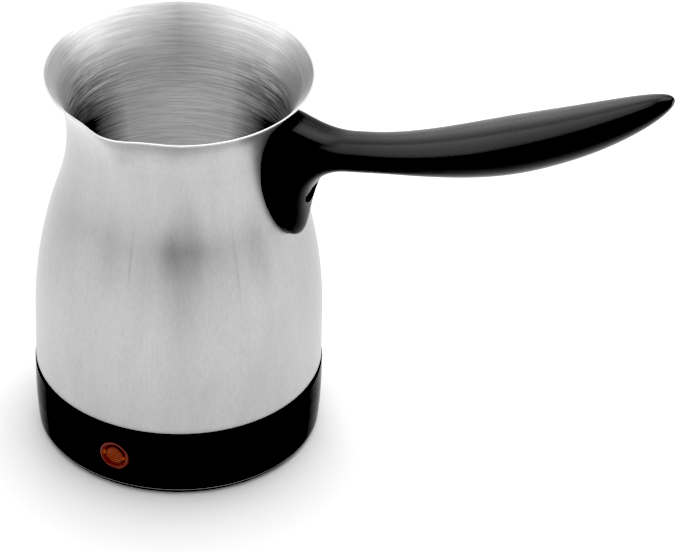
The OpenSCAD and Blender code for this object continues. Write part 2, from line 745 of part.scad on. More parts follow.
module thermostat_bracket() {
    color(ZINC)
        difference() {
            translate([0, 0, cap_z - ear_t]) union() {
                cylinder(r = cap_r + ear_lip, h = ear_t);
                translate([-ear_r, -clamp_half, 0]) cube([2 * ear_r, 2 * clamp_half, ear_t]);
                for (s = [-1, 1]) translate([0, s * clamp_half, 0]) cylinder(r = ear_r, h = ear_t);
            }
            translate([0, 0, cap_z - ear_t - EPS])
                cylinder(r = case_r + thread_gap, h = ear_t + 2 * EPS);
            for (s = [-1, 1])
                translate([0, s * clamp_half, cap_z - ear_t - EPS])
                    cylinder(d = screw_d + 2 * thread_gap, h = ear_t + 2 * EPS);
        }
}
module thermostat_screws() {
    shank = cap_h + ear_t + spreader_bite - 0.2;
    color(ZINC)
        for (s = [-1, 1])
            translate([0, s * clamp_half, 0])
                screw_up(cap_z - ear_t, screw_d, 0.9 * screw_d, clamp_screw_head, shank);
}

// ---- thermal fuse ----
module along_y(x, y, z) { translate([x, y, z]) rotate([-90, 0, 0]) children(); }
module thermal_fuse() {
    color(ZINC)
        along_y(fuse_x, 0, fuse_z)
            rotate_extrude() polygon([
                [0, -fuse_len / 2 - fuse_tail], [0.5, -fuse_len / 2 - fuse_tail],
                [0.5, -fuse_len / 2], [fuse_r, -fuse_len / 2], [fuse_r, fuse_len / 2 - 1.5],
                [1, fuse_len / 2], [0.5, fuse_len / 2], [0.5, fuse_len / 2 + fuse_tail],
                [0, fuse_len / 2 + fuse_tail]]);
}
module fuse_clip() {
    color(ZINC)
        difference() {
            union() {
                along_y(fuse_x, -clip_w / 2, fuse_z) cylinder(r = fuse_r + clip_t, h = clip_w);
                translate([fuse_x, -clip_w / 2, plate_z - clip_foot_t])
                    cube([fuse_screw_x - fuse_x + 2.9, clip_w, clip_foot_t]);
            }
            along_y(fuse_x, -clip_w, fuse_z) cylinder(r = fuse_r + thread_gap, h = 2 * clip_w);
            translate([fuse_x - fuse_r * 0.6, -clip_w, fuse_z])
                cube([fuse_r * 1.2, 2 * clip_w, 2 * fuse_r]);
            translate([fuse_x - 5, -clip_w, plate_z]) cube([10, 2 * clip_w, 5]);
            translate([fuse_screw_x, 0, plate_z - 5]) cylinder(d = screw_d + 2 * thread_gap, h = 10);
        }
}
module fuse_screw() {
    color(ZINC)
        translate([fuse_screw_x, 0, 0])
            screw_up(plate_z - clip_foot_t, screw_d, 2.5, 1.6, clip_foot_t + spreader_bite - 0.2);
}

// ---- lamp ----
lens_seat = ring_at(lamp_z) - spot_depth;
lens_r = lens_d / 2;
barrel_r = barrel_d / 2;
barrel_end = lens_seat - barrel_len;
barrel_wall = 0.9;
barrel_split = lens_seat - 5.5;
lens_rise = 1;
module lamp_lens() {
    bore_r = barrel_r - barrel_wall;
    face = lens_seat + lens_rise;
    groove_r = lens_r - 1.9;
    ridge = [for (k = [0:3]) let (r = groove_r - 0.5 - k * groove_r / 5)
        each [[r, face - 0.3], [r - groove_r / 10, face - 0.12]]];
    color(AMBER)
        at_lamp()
            rotate_extrude() polygon(concat(
                [[0, lens_seat - 0.4], [bore_r, lens_seat - 0.4], [bore_r, barrel_split],
                 [barrel_r, barrel_split], [barrel_r, lens_seat], [lens_r, lens_seat],
                 [lens_r, face - 0.55], [lens_r - 0.15, face - 0.2], [lens_r - 0.5, face],
                 [lens_r - 1.2, face], [lens_r - 1.6, face - 0.2], [groove_r, face - 0.6]],
                ridge, [[0, face - 0.3]]));
}
module lamp_body() {
    color(NYLON)
        at_lamp()
            difference() {
                translate([0, 0, barrel_end]) cylinder(r = barrel_r, h = barrel_split - barrel_end);
                translate([0, 0, barrel_end + 1])
                    cylinder(r = barrel_r - barrel_wall, h = barrel_split - barrel_end);
            }
}
module neon_bulb() {
    bulb_r = 1.9;
    bulb_len = 6.6;
    color([0.9, 0.6, 0.4])
        at_lamp()
            translate([-1.4, 0, barrel_end + 1])
                rotate_extrude() polygon(concat(
                    [[0, 0], [bulb_r, 0]],
                    [for (a = [0:18:90]) [bulb_r * cos(a), bulb_len - bulb_r + bulb_r * sin(a)]]));
}
module lamp_resistor() {
    color([0.75, 0.65, 0.5])
        at_lamp()
            translate([2.2, 0, barrel_end + 1])
                rotate_extrude() polygon([[0, 0], [0.3, 0], [0.3, 0.6], [0.85, 0.9], [0.85, 1.6],
                                          [0.7, 1.8], [0.7, 2.9], [0.85, 3.1], [0.85, 3.8],
                                          [0.3, 4.1], [0.3, 4.5], [0, 4.5]]);
}
module lamp_retainer() {
    nut_r = 7;
    // it bears where the wall comes nearest, somewhere on the lower half of its edge
    seat = min([for (a = [-90:5:0])
        sqrt(pow(inside_at(lamp_z + nut_r * sin(a)), 2) - pow(nut_r * cos(a), 2))]) - 0.02;
    color(ZINC)
        at_lamp() difference() {
            ring(nut_r, barrel_r + thread_gap, seat - 0.5, 0.5);
            for (a = [45:90:315])
                rotate([0, 0, a]) translate([barrel_r - 0.5, -0.4, seat - 1]) cube([1.4, 0.8, 2]);
        }
}
lamp_tab_x = 2.2;
lamp_tab_len = 5.6;
module lamp_tabs() {
    color(BRASS)
        at_lamp()
            for (s = [-1, 1])
                translate([s * lamp_tab_x - 0.25, -1.4, barrel_end - lamp_tab_len])
                    cube([0.5, 2.8, lamp_tab_len]);
}

// ---- base ----
pad_r = 8.2;
pad_face = ring_at(gland_z + pad_r) + 0.3;
pad_back = inside_at(gland_z - pad_r) - 1.2;
shelf_w = 22;
shelf_t = 2.5;
shelf_z = gland_z + cord_d / 2;
gland_lip = 1.8;
gland_back = 1.6;
clamp_screw_x = 8;
clamp_boss_r = 2.8;
clamp_bar_w = 6;
clamp_bar_t = 2.2;
clamp_gap = 1.2;
clamp_y = pad_back - gland_back - clamp_bar_w / 2 - clamp_gap;
clamp_top_z = gland_z - cord_d / 2;
shelf_in_y = clamp_y - 0.75 * clamp_bar_w;
gland_back_r = gland_flange_d / 2 - 0.4;

edge_cut = 0.3;
ledge_top_z = cover_top_z + ledge_t;
housing_outline = [
    [ring_r - wall, ring_top_z], [ring_r - edge_cut, ring_top_z],
    [ring_at(ring_top_z - edge_cut), ring_top_z - edge_cut],
    [ring_at(seam_z + edge_cut), seam_z + edge_cut], [ring_low_r - edge_cut, seam_z],
    [cover_r + cover_gap, seam_z], [cover_r + cover_gap, cover_top_z], [ledge_r, cover_top_z],
    [ledge_r, ledge_top_z], [inside_at(ledge_top_z), ledge_top_z]];

module base_housing() {
    color(BLACK)
        difference() {
            union() {
                rotate_extrude() polygon(housing_outline);
                // pad for the cord gland, with the cord's shelf and its two screw bosses
                at_gland() translate([0, 0, pad_back]) cylinder(r = pad_r, h = pad_face - pad_back);
                translate([-shelf_w / 2, shelf_in_y, shelf_z])
                    cube([shelf_w, inside_at(shelf_z + shelf_t) + 0.15 - shelf_in_y, shelf_t]);
                for (s = [-1, 1])
                    translate([s * clamp_screw_x, clamp_y, clamp_top_z])
                        cylinder(r = clamp_boss_r, h = shelf_z - clamp_top_z + 1);
                // lugs for the pot's studs
                for (a = STUD_ANGLES)
                    rotate([0, 0, a]) translate([0, 0, lug_z]) {
                        translate([stud_r, 0, 0]) cylinder(d = lug_w, h = lug_t);
                        translate([stud_r, -lug_w / 2, 0])
                            cube([inside_at(lug_top_z) + 0.6 - stud_r, lug_w, lug_t]);
                    }
                // bosses for the cover's screws, each with a rib to the wall
                for (a = COVER_SCREW_ANGLES)
                    rotate([0, 0, a]) translate([0, 0, boss_low_z]) {
                        translate([boss_r, 0, 0]) cylinder(d = boss_d, h = boss_top_z - boss_low_z);
                        translate([boss_r, -1.2, 0])
                            cube([inside_at(boss_top_z) + 0.6 - boss_r, 2.4, boss_top_z - boss_low_z]);
                    }
            }
            at_gland() translate([0, 0, pad_back - gland_back - 0.2]) {
                cylinder(r = gland_back_r + 0.2, h = gland_back + 0.2);
                cylinder(d = gland_hole_d + 2 * thread_gap, h = pad_face - pad_back + 2 * gland_back);
            }
            at_lamp() {
                cylinder(r = barrel_r + 0.1, h = ring_r + 10);
                translate([0, 0, lens_seat]) cylinder(r = lens_r + 0.12, h = 10);
            }
            for (s = [-1, 1])
                translate([s * clamp_screw_x, clamp_y, clamp_top_z - EPS])
                    cylinder(d = screw_d + 2 * thread_gap, h = 6);
            for (a = STUD_ANGLES)
                rotate([0, 0, a]) translate([stud_r, 0, lug_z - EPS])
                    cylinder(d = stud_d + 0.3, h = lug_t + 2 * EPS);
            for (a = COVER_SCREW_ANGLES)
                rotate([0, 0, a]) translate([boss_r, 0, cover_top_z - EPS])
                    cylinder(d = screw_d + 2 * thread_gap, h = cover_screw_len - cover_t + 1.4);
        }
}
VENT_COUNT = 6;
VENT_PITCH = 5;
VENT_LEN = 22;
VENT_W = 2.2;
cover_head_r = 2.9;
cover_head_h = 1.5;
cover_screw_tip = 0.2 * screw_d;
module bottom_cover() {
    color(DARK)
        difference() {
            union() {
                translate([0, 0, foot_h]) cylinder(r = cover_r, h = cover_t);
                rotate_extrude() polygon([
                    [cover_r - 1, foot_h], [ring_low_r - 0.5, foot_h], [ring_low_r - 0.1, foot_h + 0.4],
                    [ring_low_r - 0.1, foot_h + rim_t - 0.2], [ring_low_r - 0.3, foot_h + rim_t],
                    [cover_r - 1, foot_h + rim_t]]);
                ring(ledge_r - 6.2, ledge_r - 7.4, cover_top_z - EPS, 1.5);
            }
            ring(foot_circle_r + foot_w / 2 + thread_gap, foot_circle_r - foot_w / 2 - thread_gap,
                 foot_h - EPS, foot_recess + EPS);
            for (i = [0:VENT_COUNT - 1])
                translate([-VENT_LEN / 2, (i - (VENT_COUNT - 1) / 2) * VENT_PITCH, foot_h - 1]) {
                    translate([0, -VENT_W / 2, 0]) cube([VENT_LEN, VENT_W, cover_t + 3]);
                    for (x = [0, VENT_LEN]) translate([x, 0, 0]) cylinder(d = VENT_W, h = cover_t + 3);
                }
            for (a = COVER_SCREW_ANGLES)
                rotate([0, 0, a]) translate([boss_r, 0, foot_h]) {
                    translate([0, 0, -1]) cylinder(d = screw_d + 2 * thread_gap, h = cover_t + 2);
                    rotate_extrude() polygon([[0, -EPS], [cover_head_r + 0.1, -EPS],
                                              [cover_head_r + 0.1, 0.1],
                                              [screw_d / 2 + thread_gap, cover_head_h], [0, cover_head_h]]);
                }
        }
}
module cover_screws() {
    color(ZINC)
        for (a = COVER_SCREW_ANGLES)
            rotate([0, 0, a]) translate([boss_r, 0, foot_h])
                difference() {
                    rotate_extrude() polygon([[0, 0.1], [cover_head_r - 0.1, 0.1],
                                              [screw_d / 2, cover_head_h],
                                              [screw_d / 2, cover_screw_len - cover_screw_tip],
                                              [screw_d / 4, cover_screw_len], [0, cover_screw_len]]);
                    for (b = [0, 90])
                        rotate([0, 0, b]) translate([-1.6, -0.4, 0]) cube([3.2, 0.8, 1]);
                }
}
module foot_ring() {
    half = foot_w / 2;
    top = foot_h + foot_recess;
    color(RUBBER)
        rotate_extrude() translate([foot_circle_r, 0]) polygon([
            [-half + 0.5, 0], [half - 0.5, 0], [half, foot_h * 0.8], [half, top],
            [-half, top], [-half, foot_h * 0.8]]);
}

// ---- cord entry ----
module cord_gland() {
    hole_r = gland_hole_d / 2;
    flange_r = gland_flange_d / 2;
    bore = cord_d / 2;
    color(RUBBER)
        at_gland()
            rotate_extrude() polygon([
                [bore, pad_back - gland_back], [gland_back_r - 0.8, pad_back - gland_back],
                [gland_back_r, pad_back],
                [hole_r, pad_back], [hole_r, pad_face], [flange_r, pad_face],
                [flange_r, pad_face + gland_lip * 0.5], [flange_r - 0.7, pad_face + gland_lip],
                [bore, pad_face + gland_lip]]);
}
module cord_clamp() {
    color(NYLON)
        difference() {
            translate([-shelf_w / 2, clamp_y - clamp_bar_w / 2, clamp_top_z - clamp_bar_t])
                cube([shelf_w, clamp_bar_w, clamp_bar_t]);
            along_y(0, clamp_y - clamp_bar_w, gland_z - 0.4) cylinder(d = cord_d, h = 2 * clamp_bar_w);
            for (s = [-1, 1])
                translate([s * clamp_screw_x, clamp_y, clamp_top_z - clamp_bar_t - EPS])
                    cylinder(d = screw_d + 2 * thread_gap, h = clamp_bar_t + 2 * EPS);
        }
}
module clamp_screws() {
    color(ZINC)
        for (s = [-1, 1])
            translate([s * clamp_screw_x, clamp_y, 0])
                screw_up(clamp_top_z - clamp_bar_t, screw_d, 2.6, 1.7, clamp_bar_t + 5);
}

// ---- wiring ----
end_gap = 0.15;
pin_terminal_y = pin_y - blade_len - terminal_back;
module blade_terminal(wire_end) {
    // receptacle along +X from its wire end, open towards the blade
    difference() {
        translate([wire_end, -terminal_w / 2, -terminal_h / 2])
            cube([terminal_len, terminal_w, terminal_h]);
        translate([wire_end + terminal_back, -blade_w / 2 - thread_gap, -blade_t / 2 - thread_gap])
            cube([terminal_len, blade_w + 2 * thread_gap, blade_t + 2 * thread_gap]);
    }
}
blade_terminal_x = blade_reach + terminal_back;
module lead_terminals() {
    color(ZINC) {
        translate([0, 0, right_blade_z + blade_t / 2])
            rotate([0, 0, 180]) blade_terminal(-blade_terminal_x);
        translate([0, 0, arm_z - blade_t / 2]) blade_terminal(-blade_terminal_x);
        for (s = [-1, 1])
            translate([s * pin_x, pin_terminal_y, pin_blade_z + blade_t / 2])
                rotate([0, 0, 90]) blade_terminal(0);
    }
}
// A lead leaves each end straight, and its bends are set from its two ends.
straight = 0.7 * lead_d;
pin_lead_z = pin_blade_z + blade_t / 2;
lead_low_z = cover_top_z + 2.5 * lamp_lead_d;
module heater_lead() {
    start = [blade_terminal_x + end_gap, 0, right_blade_z + blade_t / 2];
    finish = [pin_x + 0.55 * lead_d, pin_terminal_y - end_gap, pin_lead_z];
    color([0.75, 0.15, 0.12])
        lead([start, start + [straight, 0, 0], start + lead_d * [1.5, 1.2, -0.7],
              [(start[0] + finish[0]) / 2 + 1.2 * lead_d, finish[1] - 4 * lead_d,
               finish[2] + 0.7 * lead_d],
              finish + lead_d * [0.5, -2, 0], finish - [0, straight, 0], finish], lead_d);
}
module fuse_lead() {
    start = [fuse_x, -fuse_len / 2 - fuse_tail - end_gap, fuse_z];
    finish = [-blade_terminal_x - end_gap, 0, arm_z - blade_t / 2];
    color([0.75, 0.15, 0.12])
        lead([start, start - [0, straight * 0.8, 0], start + lead_d * [0.1, -1, -0.9],
              [start[0], start[1] - lead_d * 0.3, finish[2] + lead_d * 0.5],
              [start[0] - lead_d * 0.2, start[1] / 2, finish[2]],
              finish + lead_d * [-1.6, -0.55, 0], finish - [straight, 0, 0], finish],
             lead_d, [-1, 1, 1]);
}
// Point of the lamp's own frame: across it, inward from its tabs' ends, and up
function lamp_point(across, inward, up) =
    let (y = -barrel_end + lamp_tab_len + inward)
    [across * cos(lamp_turn) - y * sin(lamp_turn), across * sin(lamp_turn) + y * cos(lamp_turn),
     lamp_z + up];
module lamp_lead(side) {
    finish = [side * (pin_x - 0.3 * terminal_w), pin_terminal_y - end_gap, pin_lead_z];
    lead([lamp_point(side * lamp_tab_x, end_gap, 0), lamp_point(side * lamp_tab_x, straight, 0),
          lamp_point(side * lamp_tab_x * 1.3, 2.2 * straight, lamp_lead_d * -1.6),
          [finish[0] / 2, -barrel_end + 2 * lamp_tab_len, lead_low_z + lamp_lead_d],
          [finish[0] * 0.8, -barrel_end / 2, lead_low_z], [finish[0], 0, lead_low_z],
          finish - [0, 4 * straight, 0], finish - [0, straight, 0], finish], lamp_lead_d);
}
module lamp_lead_a() { color([0.1, 0.25, 0.6]) lamp_lead(1); }
module lamp_lead_b() { color([0.85, 0.85, 0.8]) lamp_lead(-1); }

pot_vessel();
handle_bracket();
handle();
handle_screw();
handle_washer();
vessel_studs();
stud_washers();
stud_nuts();
earth_tag();
vessel_gasket();
heat_spreader();
heating_element();
element_seals();
element_pins();
thermostat_cap();
thermostat_body();
bimetal_disc();
push_pin();
contact_arm();
fixed_contact();
thermostat_tabs();
thermostat_bracket();
thermostat_screws();
thermal_fuse();
fuse_clip();
fuse_screw();
lamp_lens();
lamp_body();
neon_bulb();
lamp_resistor();
lamp_retainer();
lamp_tabs();
base_housing();
bottom_cover();
cover_screws();
foot_ring();
cord_gland();
cord_clamp();
clamp_screws();
fuse_lead();
heater_lead();
lamp_lead_a();
lamp_lead_b();
lead_terminals();
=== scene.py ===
import bmesh
import bpy
import numpy as np
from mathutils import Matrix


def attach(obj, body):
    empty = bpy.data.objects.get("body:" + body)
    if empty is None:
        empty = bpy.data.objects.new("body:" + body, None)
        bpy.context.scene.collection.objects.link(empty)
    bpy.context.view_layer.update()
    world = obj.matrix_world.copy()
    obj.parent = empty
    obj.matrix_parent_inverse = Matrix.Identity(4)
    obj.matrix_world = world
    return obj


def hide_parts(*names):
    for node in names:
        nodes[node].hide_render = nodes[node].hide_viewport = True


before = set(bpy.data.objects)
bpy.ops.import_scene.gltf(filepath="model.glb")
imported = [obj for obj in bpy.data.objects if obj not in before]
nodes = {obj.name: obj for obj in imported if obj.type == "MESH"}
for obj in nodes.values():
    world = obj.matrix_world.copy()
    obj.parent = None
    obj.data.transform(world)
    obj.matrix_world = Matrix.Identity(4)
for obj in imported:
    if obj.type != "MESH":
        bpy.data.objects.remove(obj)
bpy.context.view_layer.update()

# ---- Pot ----
# Deep-drawn and spun stainless steel of 0.7 mm: a straight belly, a shoulder that draws in
# to the neck, a flared mouth with a pouring lip pressed into it, and a foot that nests in
# the base. The outside is brushed upright, the inside shows the rings of the spinning.
mm = 0.001
belly_r, belly_top_z = 50.7, 45.8
neck_r, neck_z = 38.7, 120.2
mouth_r, mouth_z = 46.5, 143.4
sheet = 0.7
foot_r, foot_z, floor_z, floor_round = 48.2, 26.8, 22.0, 3.0
bulge_share, flare_share = 0.7, 0.67
spout_foot_z, spout_reach, spout_flat, spout_half = 117.0, 2.15, 1.0, 16.0
spout_aside, spout_growth = 1.5, 1.6
spout_pinch, pinch_off, pinch_half = 0.35, 4.5, 11.0
wall_lift, rim_drop = 0.6, 0.25
pot_columns = 288

shoulder_turn = 2 * np.arctan((belly_r - neck_r) / (neck_z - belly_top_z))
bulge_arc = bulge_share * (neck_z - belly_top_z) / np.sin(shoulder_turn)
hollow_arc = (1 - bulge_share) * (neck_z - belly_top_z) / np.sin(shoulder_turn)
turn_z = belly_top_z + bulge_arc * np.sin(shoulder_turn)


def pot_radius(z):
    """Outside radius at height z: the belly's, then one arc that bulges and one that turns
    hollow up to the neck, then the neck's radius plus a flare of v squared and v to the
    fifth in their shares, with v from 0 at the neck to 1 at the mouth."""
    z = np.asarray(z, float)
    v = np.clip((z - neck_z) / (mouth_z - neck_z), 0, None)
    bulge = belly_r - bulge_arc + np.sqrt(np.maximum(bulge_arc**2 - (z - belly_top_z)**2, 0))
    hollow = neck_r + hollow_arc - np.sqrt(np.maximum(hollow_arc**2 - (neck_z - z)**2, 0))
    flare = neck_r + (mouth_r - neck_r) * (flare_share * v**2 + (1 - flare_share) * v**5)
    return np.select([z <= belly_top_z, z <= turn_z, z <= neck_z], [belly_r + 0 * z, bulge, hollow], flare)


def ease(u):
    """Smooth step from 0 to 1: three u squared less two u cubed, held flat outside."""
    u = np.clip(u, 0, 1)
    return u * u * (3 - 2 * u)


def spout_push(angle, z):
    """How far the lip is pressed out at an angle in degrees from the front and a height:
    the reach with eased sides, less a shallow pinch on each side, growing up the neck."""
    off = abs(angle + spout_aside)
    across = spout_reach * ease((spout_half - off) / (spout_half - spout_flat))
    across = across - spout_pinch * ease(1 - abs(off - spout_half - pinch_off) / pinch_half)
    return across * (np.clip(z - spout_foot_z, 0, None) / (mouth_z - spout_foot_z))**spout_growth


def turned(radius, height, columns, push=None):
    """Rings of a turned form: point (r sin a, -r cos a, z) for each profile row and each
    angle a round the axis, with push(a, z) added to the radius."""
    a = np.linspace(-180, 180, columns, endpoint=False)[None, :]
    r, z = np.asarray(radius, float)[:, None], np.asarray(height, float)[:, None]
    r = r + (push(a, z) if push else 0 * a)
    return np.stack([r * np.sin(np.radians(a)), -r * np.cos(np.radians(a)), z + 0 * a], -1)


def skin(name, rings, first, last, sharp=None):
    """Object over a stack of closed rings, rows by columns by xyz in millimetres: a quad for
    each cell, and a fan from the end rings to the first and the last point. The faces are
    turned round if the volume, a sixth of the sum of a . (b x c), is negative."""
    rows, columns, _ = rings.shape
    points = np.vstack([rings.reshape(-1, 3), first, last])
    j, i = np.meshgrid(np.arange(rows - 1), np.arange(columns), indexing="ij")
    a, b = j * columns + i, j * columns + (i + 1) % columns
    quads = np.stack([a, b, b + columns, a + columns], -1).reshape(-1, 4)
    i = np.arange(columns)
    following, edge = (i + 1) % columns, (rows - 1) * columns
    fans = np.vstack([np.stack([following, i, 0 * i + rows * columns], -1),
                      np.stack([edge + i, edge + following, 0 * i + rows * columns + 1], -1)])
    halves = np.vstack([quads[:, [0, 1, 2]], quads[:, [0, 2, 3]], fans])
    p, q, r = (points[halves[:, k]] for k in range(3))
    if np.einsum("ij,ij->i", p, np.cross(q, r)).sum() < 0:
        quads, fans = quads[:, ::-1], fans[:, ::-1]
    mesh = bpy.data.meshes.new(name)
    mesh.from_pydata((points * mm).tolist(), [], quads.tolist() + fans.tolist())
    mesh.shade_smooth()
    if sharp:
        mesh.set_sharp_from_angle(angle=np.radians(sharp))
    piece = bpy.data.objects.new(name, mesh)
    bpy.context.scene.collection.objects.link(piece)
    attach(piece, "body")
    return piece


# The wall's outside, its inside one sheet away along the normal, and the round lip between.
wall_z = np.concatenate([np.linspace(foot_z + wall_lift, belly_top_z, 12)[:-1],
                         np.linspace(belly_top_z, spout_foot_z, 50)[:-1],
                         np.linspace(spout_foot_z, mouth_z - rim_drop, 40)])
near = 0.01
lean = np.arctan((pot_radius(wall_z + near) - pot_radius(wall_z - near)) / (2 * near))
outer_r, outer_z = pot_radius(wall_z), wall_z
inner_r, inner_z = outer_r - sheet * np.cos(lean), outer_z + sheet * np.sin(lean)
turn = np.radians(np.arange(22.5, 180, 22.5))
mid_r, mid_z = (outer_r[-1] + inner_r[-1]) / 2, (outer_z[-1] + inner_z[-1]) / 2
lip_r = mid_r + sheet / 2 * (np.cos(turn) * np.cos(lean[-1]) + np.sin(turn) * np.sin(lean[-1]))
lip_z = mid_z + sheet / 2 * (-np.cos(turn) * np.sin(lean[-1]) + np.sin(turn) * np.cos(lean[-1]))

# The floor and the stepped foot below the wall, and the basin that they make inside.
bend = np.radians(np.arange(0, 91, 15))
round_r = foot_r - floor_round + floor_round * np.sin(bend)
round_z = floor_z + floor_round * (1 - np.cos(bend))
floor_r = np.linspace(4, foot_r - floor_round, 10)[:-1]
under_r = np.concatenate([floor_r, round_r, [foot_r, foot_r, belly_r - wall_lift, belly_r - 0.2]])
under_z = np.concatenate([np.full(len(floor_r), floor_z), round_z,
                          [foot_z - 0.05, foot_z, foot_z, foot_z + 0.2]])
inside = floor_round - sheet
basin_floor_r = np.linspace(foot_r - floor_round, 3, 26)[1:]
basin_r = np.concatenate([[belly_r - sheet, foot_r - sheet, foot_r - sheet],
                          (foot_r - floor_round + inside * np.sin(bend))[::-1], basin_floor_r])
basin_z = np.concatenate([[foot_z + sheet, foot_z + sheet, foot_z + sheet - 0.05],
                          (floor_z + floor_round - inside * np.cos(bend))[::-1],
                          np.full(len(basin_floor_r), floor_z + sheet)])
profile_r = np.concatenate([under_r, outer_r, lip_r, inner_r[::-1], basin_r])
profile_z = np.concatenate([under_z, outer_z, lip_z, inner_z[::-1], basin_z])
pot = skin("pot", turned(profile_r, profile_z, pot_columns, spout_push),
           [0, 0, floor_z], [0, 0, floor_z + sheet], sharp=40)
along = np.concatenate([[0], np.cumsum(np.hypot(np.diff(profile_r), np.diff(profile_z)))])
attribute = pot.data.attributes.new("along", "FLOAT", "POINT")
along_points = np.append(np.repeat(along, pot_columns), [0, along[-1]])
attribute.data.foreach_set("value", along_points.astype(np.float32))
first_inner = len(under_r) + len(outer_r) + len(lip_r)
inner_faces = np.zeros(len(pot.data.polygons), np.int32)
inner_faces[first_inner * pot_columns:(len(profile_r) - 1) * pot_columns] = 1
inner_faces[-pot_columns:] = 1
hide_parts("pot_vessel")


def put(tree, kind, inputs=None, **settings):
    """A node in a material, its settings made and its inputs filled or linked."""
    made = tree.nodes.new("ShaderNode" + kind)
    for key, value in settings.items():
        setattr(made, key, value)
    for key, value in (inputs or {}).items():
        if isinstance(value, bpy.types.NodeSocket):
            tree.links.new(value, made.inputs[key])
        else:
            made.inputs[key].default_value = value
    return made


def finish_named(name, **values):
    """A material with its shader's constant values set on the shader's own sockets."""
    material = bpy.data.materials.new(name)
    material.use_nodes = True
    shader = material.node_tree.nodes["Principled BSDF"]
    for key, value in values.items():
        shader.inputs[key.replace("_", " ")].default_value = value
    return material, material.node_tree, shader


def link_to(shader, tree, **values):
    """Links values that vary over the surface to the shader's sockets."""
    for key, value in values.items():
        tree.links.new(value, shader.inputs[key.replace("_", " ")])


def on_piece(tree):
    """Place on the piece in metres, from its own object coordinates."""
    return put(tree, "TexCoord").outputs["Object"]


def number(tree, operation, *values, **settings):
    """Result of arithmetic on one to three numbers."""
    return put(tree, "Math", dict(enumerate(values)), operation=operation, **settings).outputs[0]


def vector(tree, operation, *values, **inputs):
    """Result of vector arithmetic: a number for a length or a dot product, else a vector."""
    made = put(tree, "VectorMath", {**dict(enumerate(values)), **inputs}, operation=operation)
    return made.outputs["Value" if operation in ("LENGTH", "DOT_PRODUCT") else "Vector"]


def combined(tree, *values):
    """Vector made of two or three numbers."""
    return put(tree, "CombineXYZ", dict(enumerate(values))).outputs[0]


def noise(tree, place, scale, detail, **inputs):
    """Cloudy noise about 0.5 at a place, with so many lumps to a metre or to a unit."""
    return put(tree, "TexNoise", {"Vector": place, "Scale": scale, "Detail": detail, **inputs}).outputs["Fac"]


def bump(tree, height, strength, distance, **inputs):
    """Normal of a surface raised by up to a distance in metres where the height is 1."""
    values = {"Height": height, "Strength": strength, "Distance": distance, **inputs}
    return put(tree, "Bump", values).outputs["Normal"]


def span(tree, value, low, high, start=0.0, end=1.0):
    """Value carried from the range start to end onto the range low to high."""
    return put(tree, "MapRange", {"Value": value, "From Min": start, "From Max": end,
                                  "To Min": low, "To Max": high}).outputs["Result"]


def lumps(tree, value, low, high):
    """Noise carried onto the range low to high over its middle part, 0.3 to 0.7."""
    return span(tree, value, low, high, 0.3, 0.7)


def tones(tree, factor, low, high, start=0.3, end=0.7):
    """Colour that runs from low to high as the factor runs from start to end."""
    ramp = put(tree, "ValToRGB", {"Fac": factor})
    ends = ramp.color_ramp.elements
    ends[0].position, ends[0].color = start, (*low, 1)
    ends[1].position, ends[1].color = end, (*high, 1)
    return ramp.outputs["Color"]


def in_steps(tree, factor, *steps):
    """Tone of a ramp with (position, value or colour) steps, read at the factor."""
    ramp = put(tree, "ValToRGB", {"Fac": factor})
    edges = ramp.color_ramp.elements
    edges.remove(edges[1])
    for i, (position, tone) in enumerate(steps):
        step = edges[0] if i == 0 else edges.new(position)
        colour = tone if isinstance(tone, tuple) else (tone,) * 3
        step.position, step.color = position, (*colour, 1)
    return ramp.outputs["Color"]


def from_the_axis(tree):
    """Unit vector that points straight out from the pot's upright axis."""
    return vector(tree, "NORMALIZE", vector(tree, "MULTIPLY", on_piece(tree), (1, 1, 0)))


def round_the_axis(tree, turns, rise):
    """Coordinates on a turned wall: the unit radial direction times turns, and rise up."""
    wide = vector(tree, "SCALE", from_the_axis(tree), Scale=turns)
    return vector(tree, "ADD", wide, combined(tree, 0.0, 0.0, rise))


def soft_spot(tree, across, upward):
    """Distance from a spot's middle: the length of two numbers that are 1 at its edge."""
    return vector(tree, "LENGTH", combined(tree, across, upward))


def painted_dark_mark(tree, angle, half_turn, height, reach, depth):
    """Painted shade on the wall: a soft darker mark that stands in for a dark reflection, with
    depth at its middle, an angle in degrees round from the spout and a height in mm, falling
    smoothly to nothing half_turn away and reach up or down."""
    x, y, z = put(tree, "SeparateXYZ", {0: on_piece(tree)}).outputs
    round_it = number(tree, "ARCTAN2", x, number(tree, "MULTIPLY", y, -1.0))
    u = span(tree, round_it, -1, 1, np.radians(angle - half_turn), np.radians(angle + half_turn))
    v = span(tree, z, -1, 1, (height - reach) * mm, (height + reach) * mm)
    fall = {"Value": soft_spot(tree, u, v), "From Min": 0.0, "From Max": 1.0, "To Min": depth, "To Max": 0.0}
    return put(tree, "MapRange", fall, interpolation_type="SMOOTHSTEP").outputs["Result"]


steel_out, tree, shader = finish_named("brushed steel outside", Metallic=1.0, Anisotropic=0.25)
rise = put(tree, "SeparateXYZ", {0: on_piece(tree)}).outputs[2]
fine = noise(tree, round_the_axis(tree, 55.0, number(tree, "MULTIPLY", rise, 520.0)), 1.0, 4.0)
broad = noise(tree, round_the_axis(tree, 6.0, number(tree, "MULTIPLY", rise, 38.0)), 1.0, 3.0)
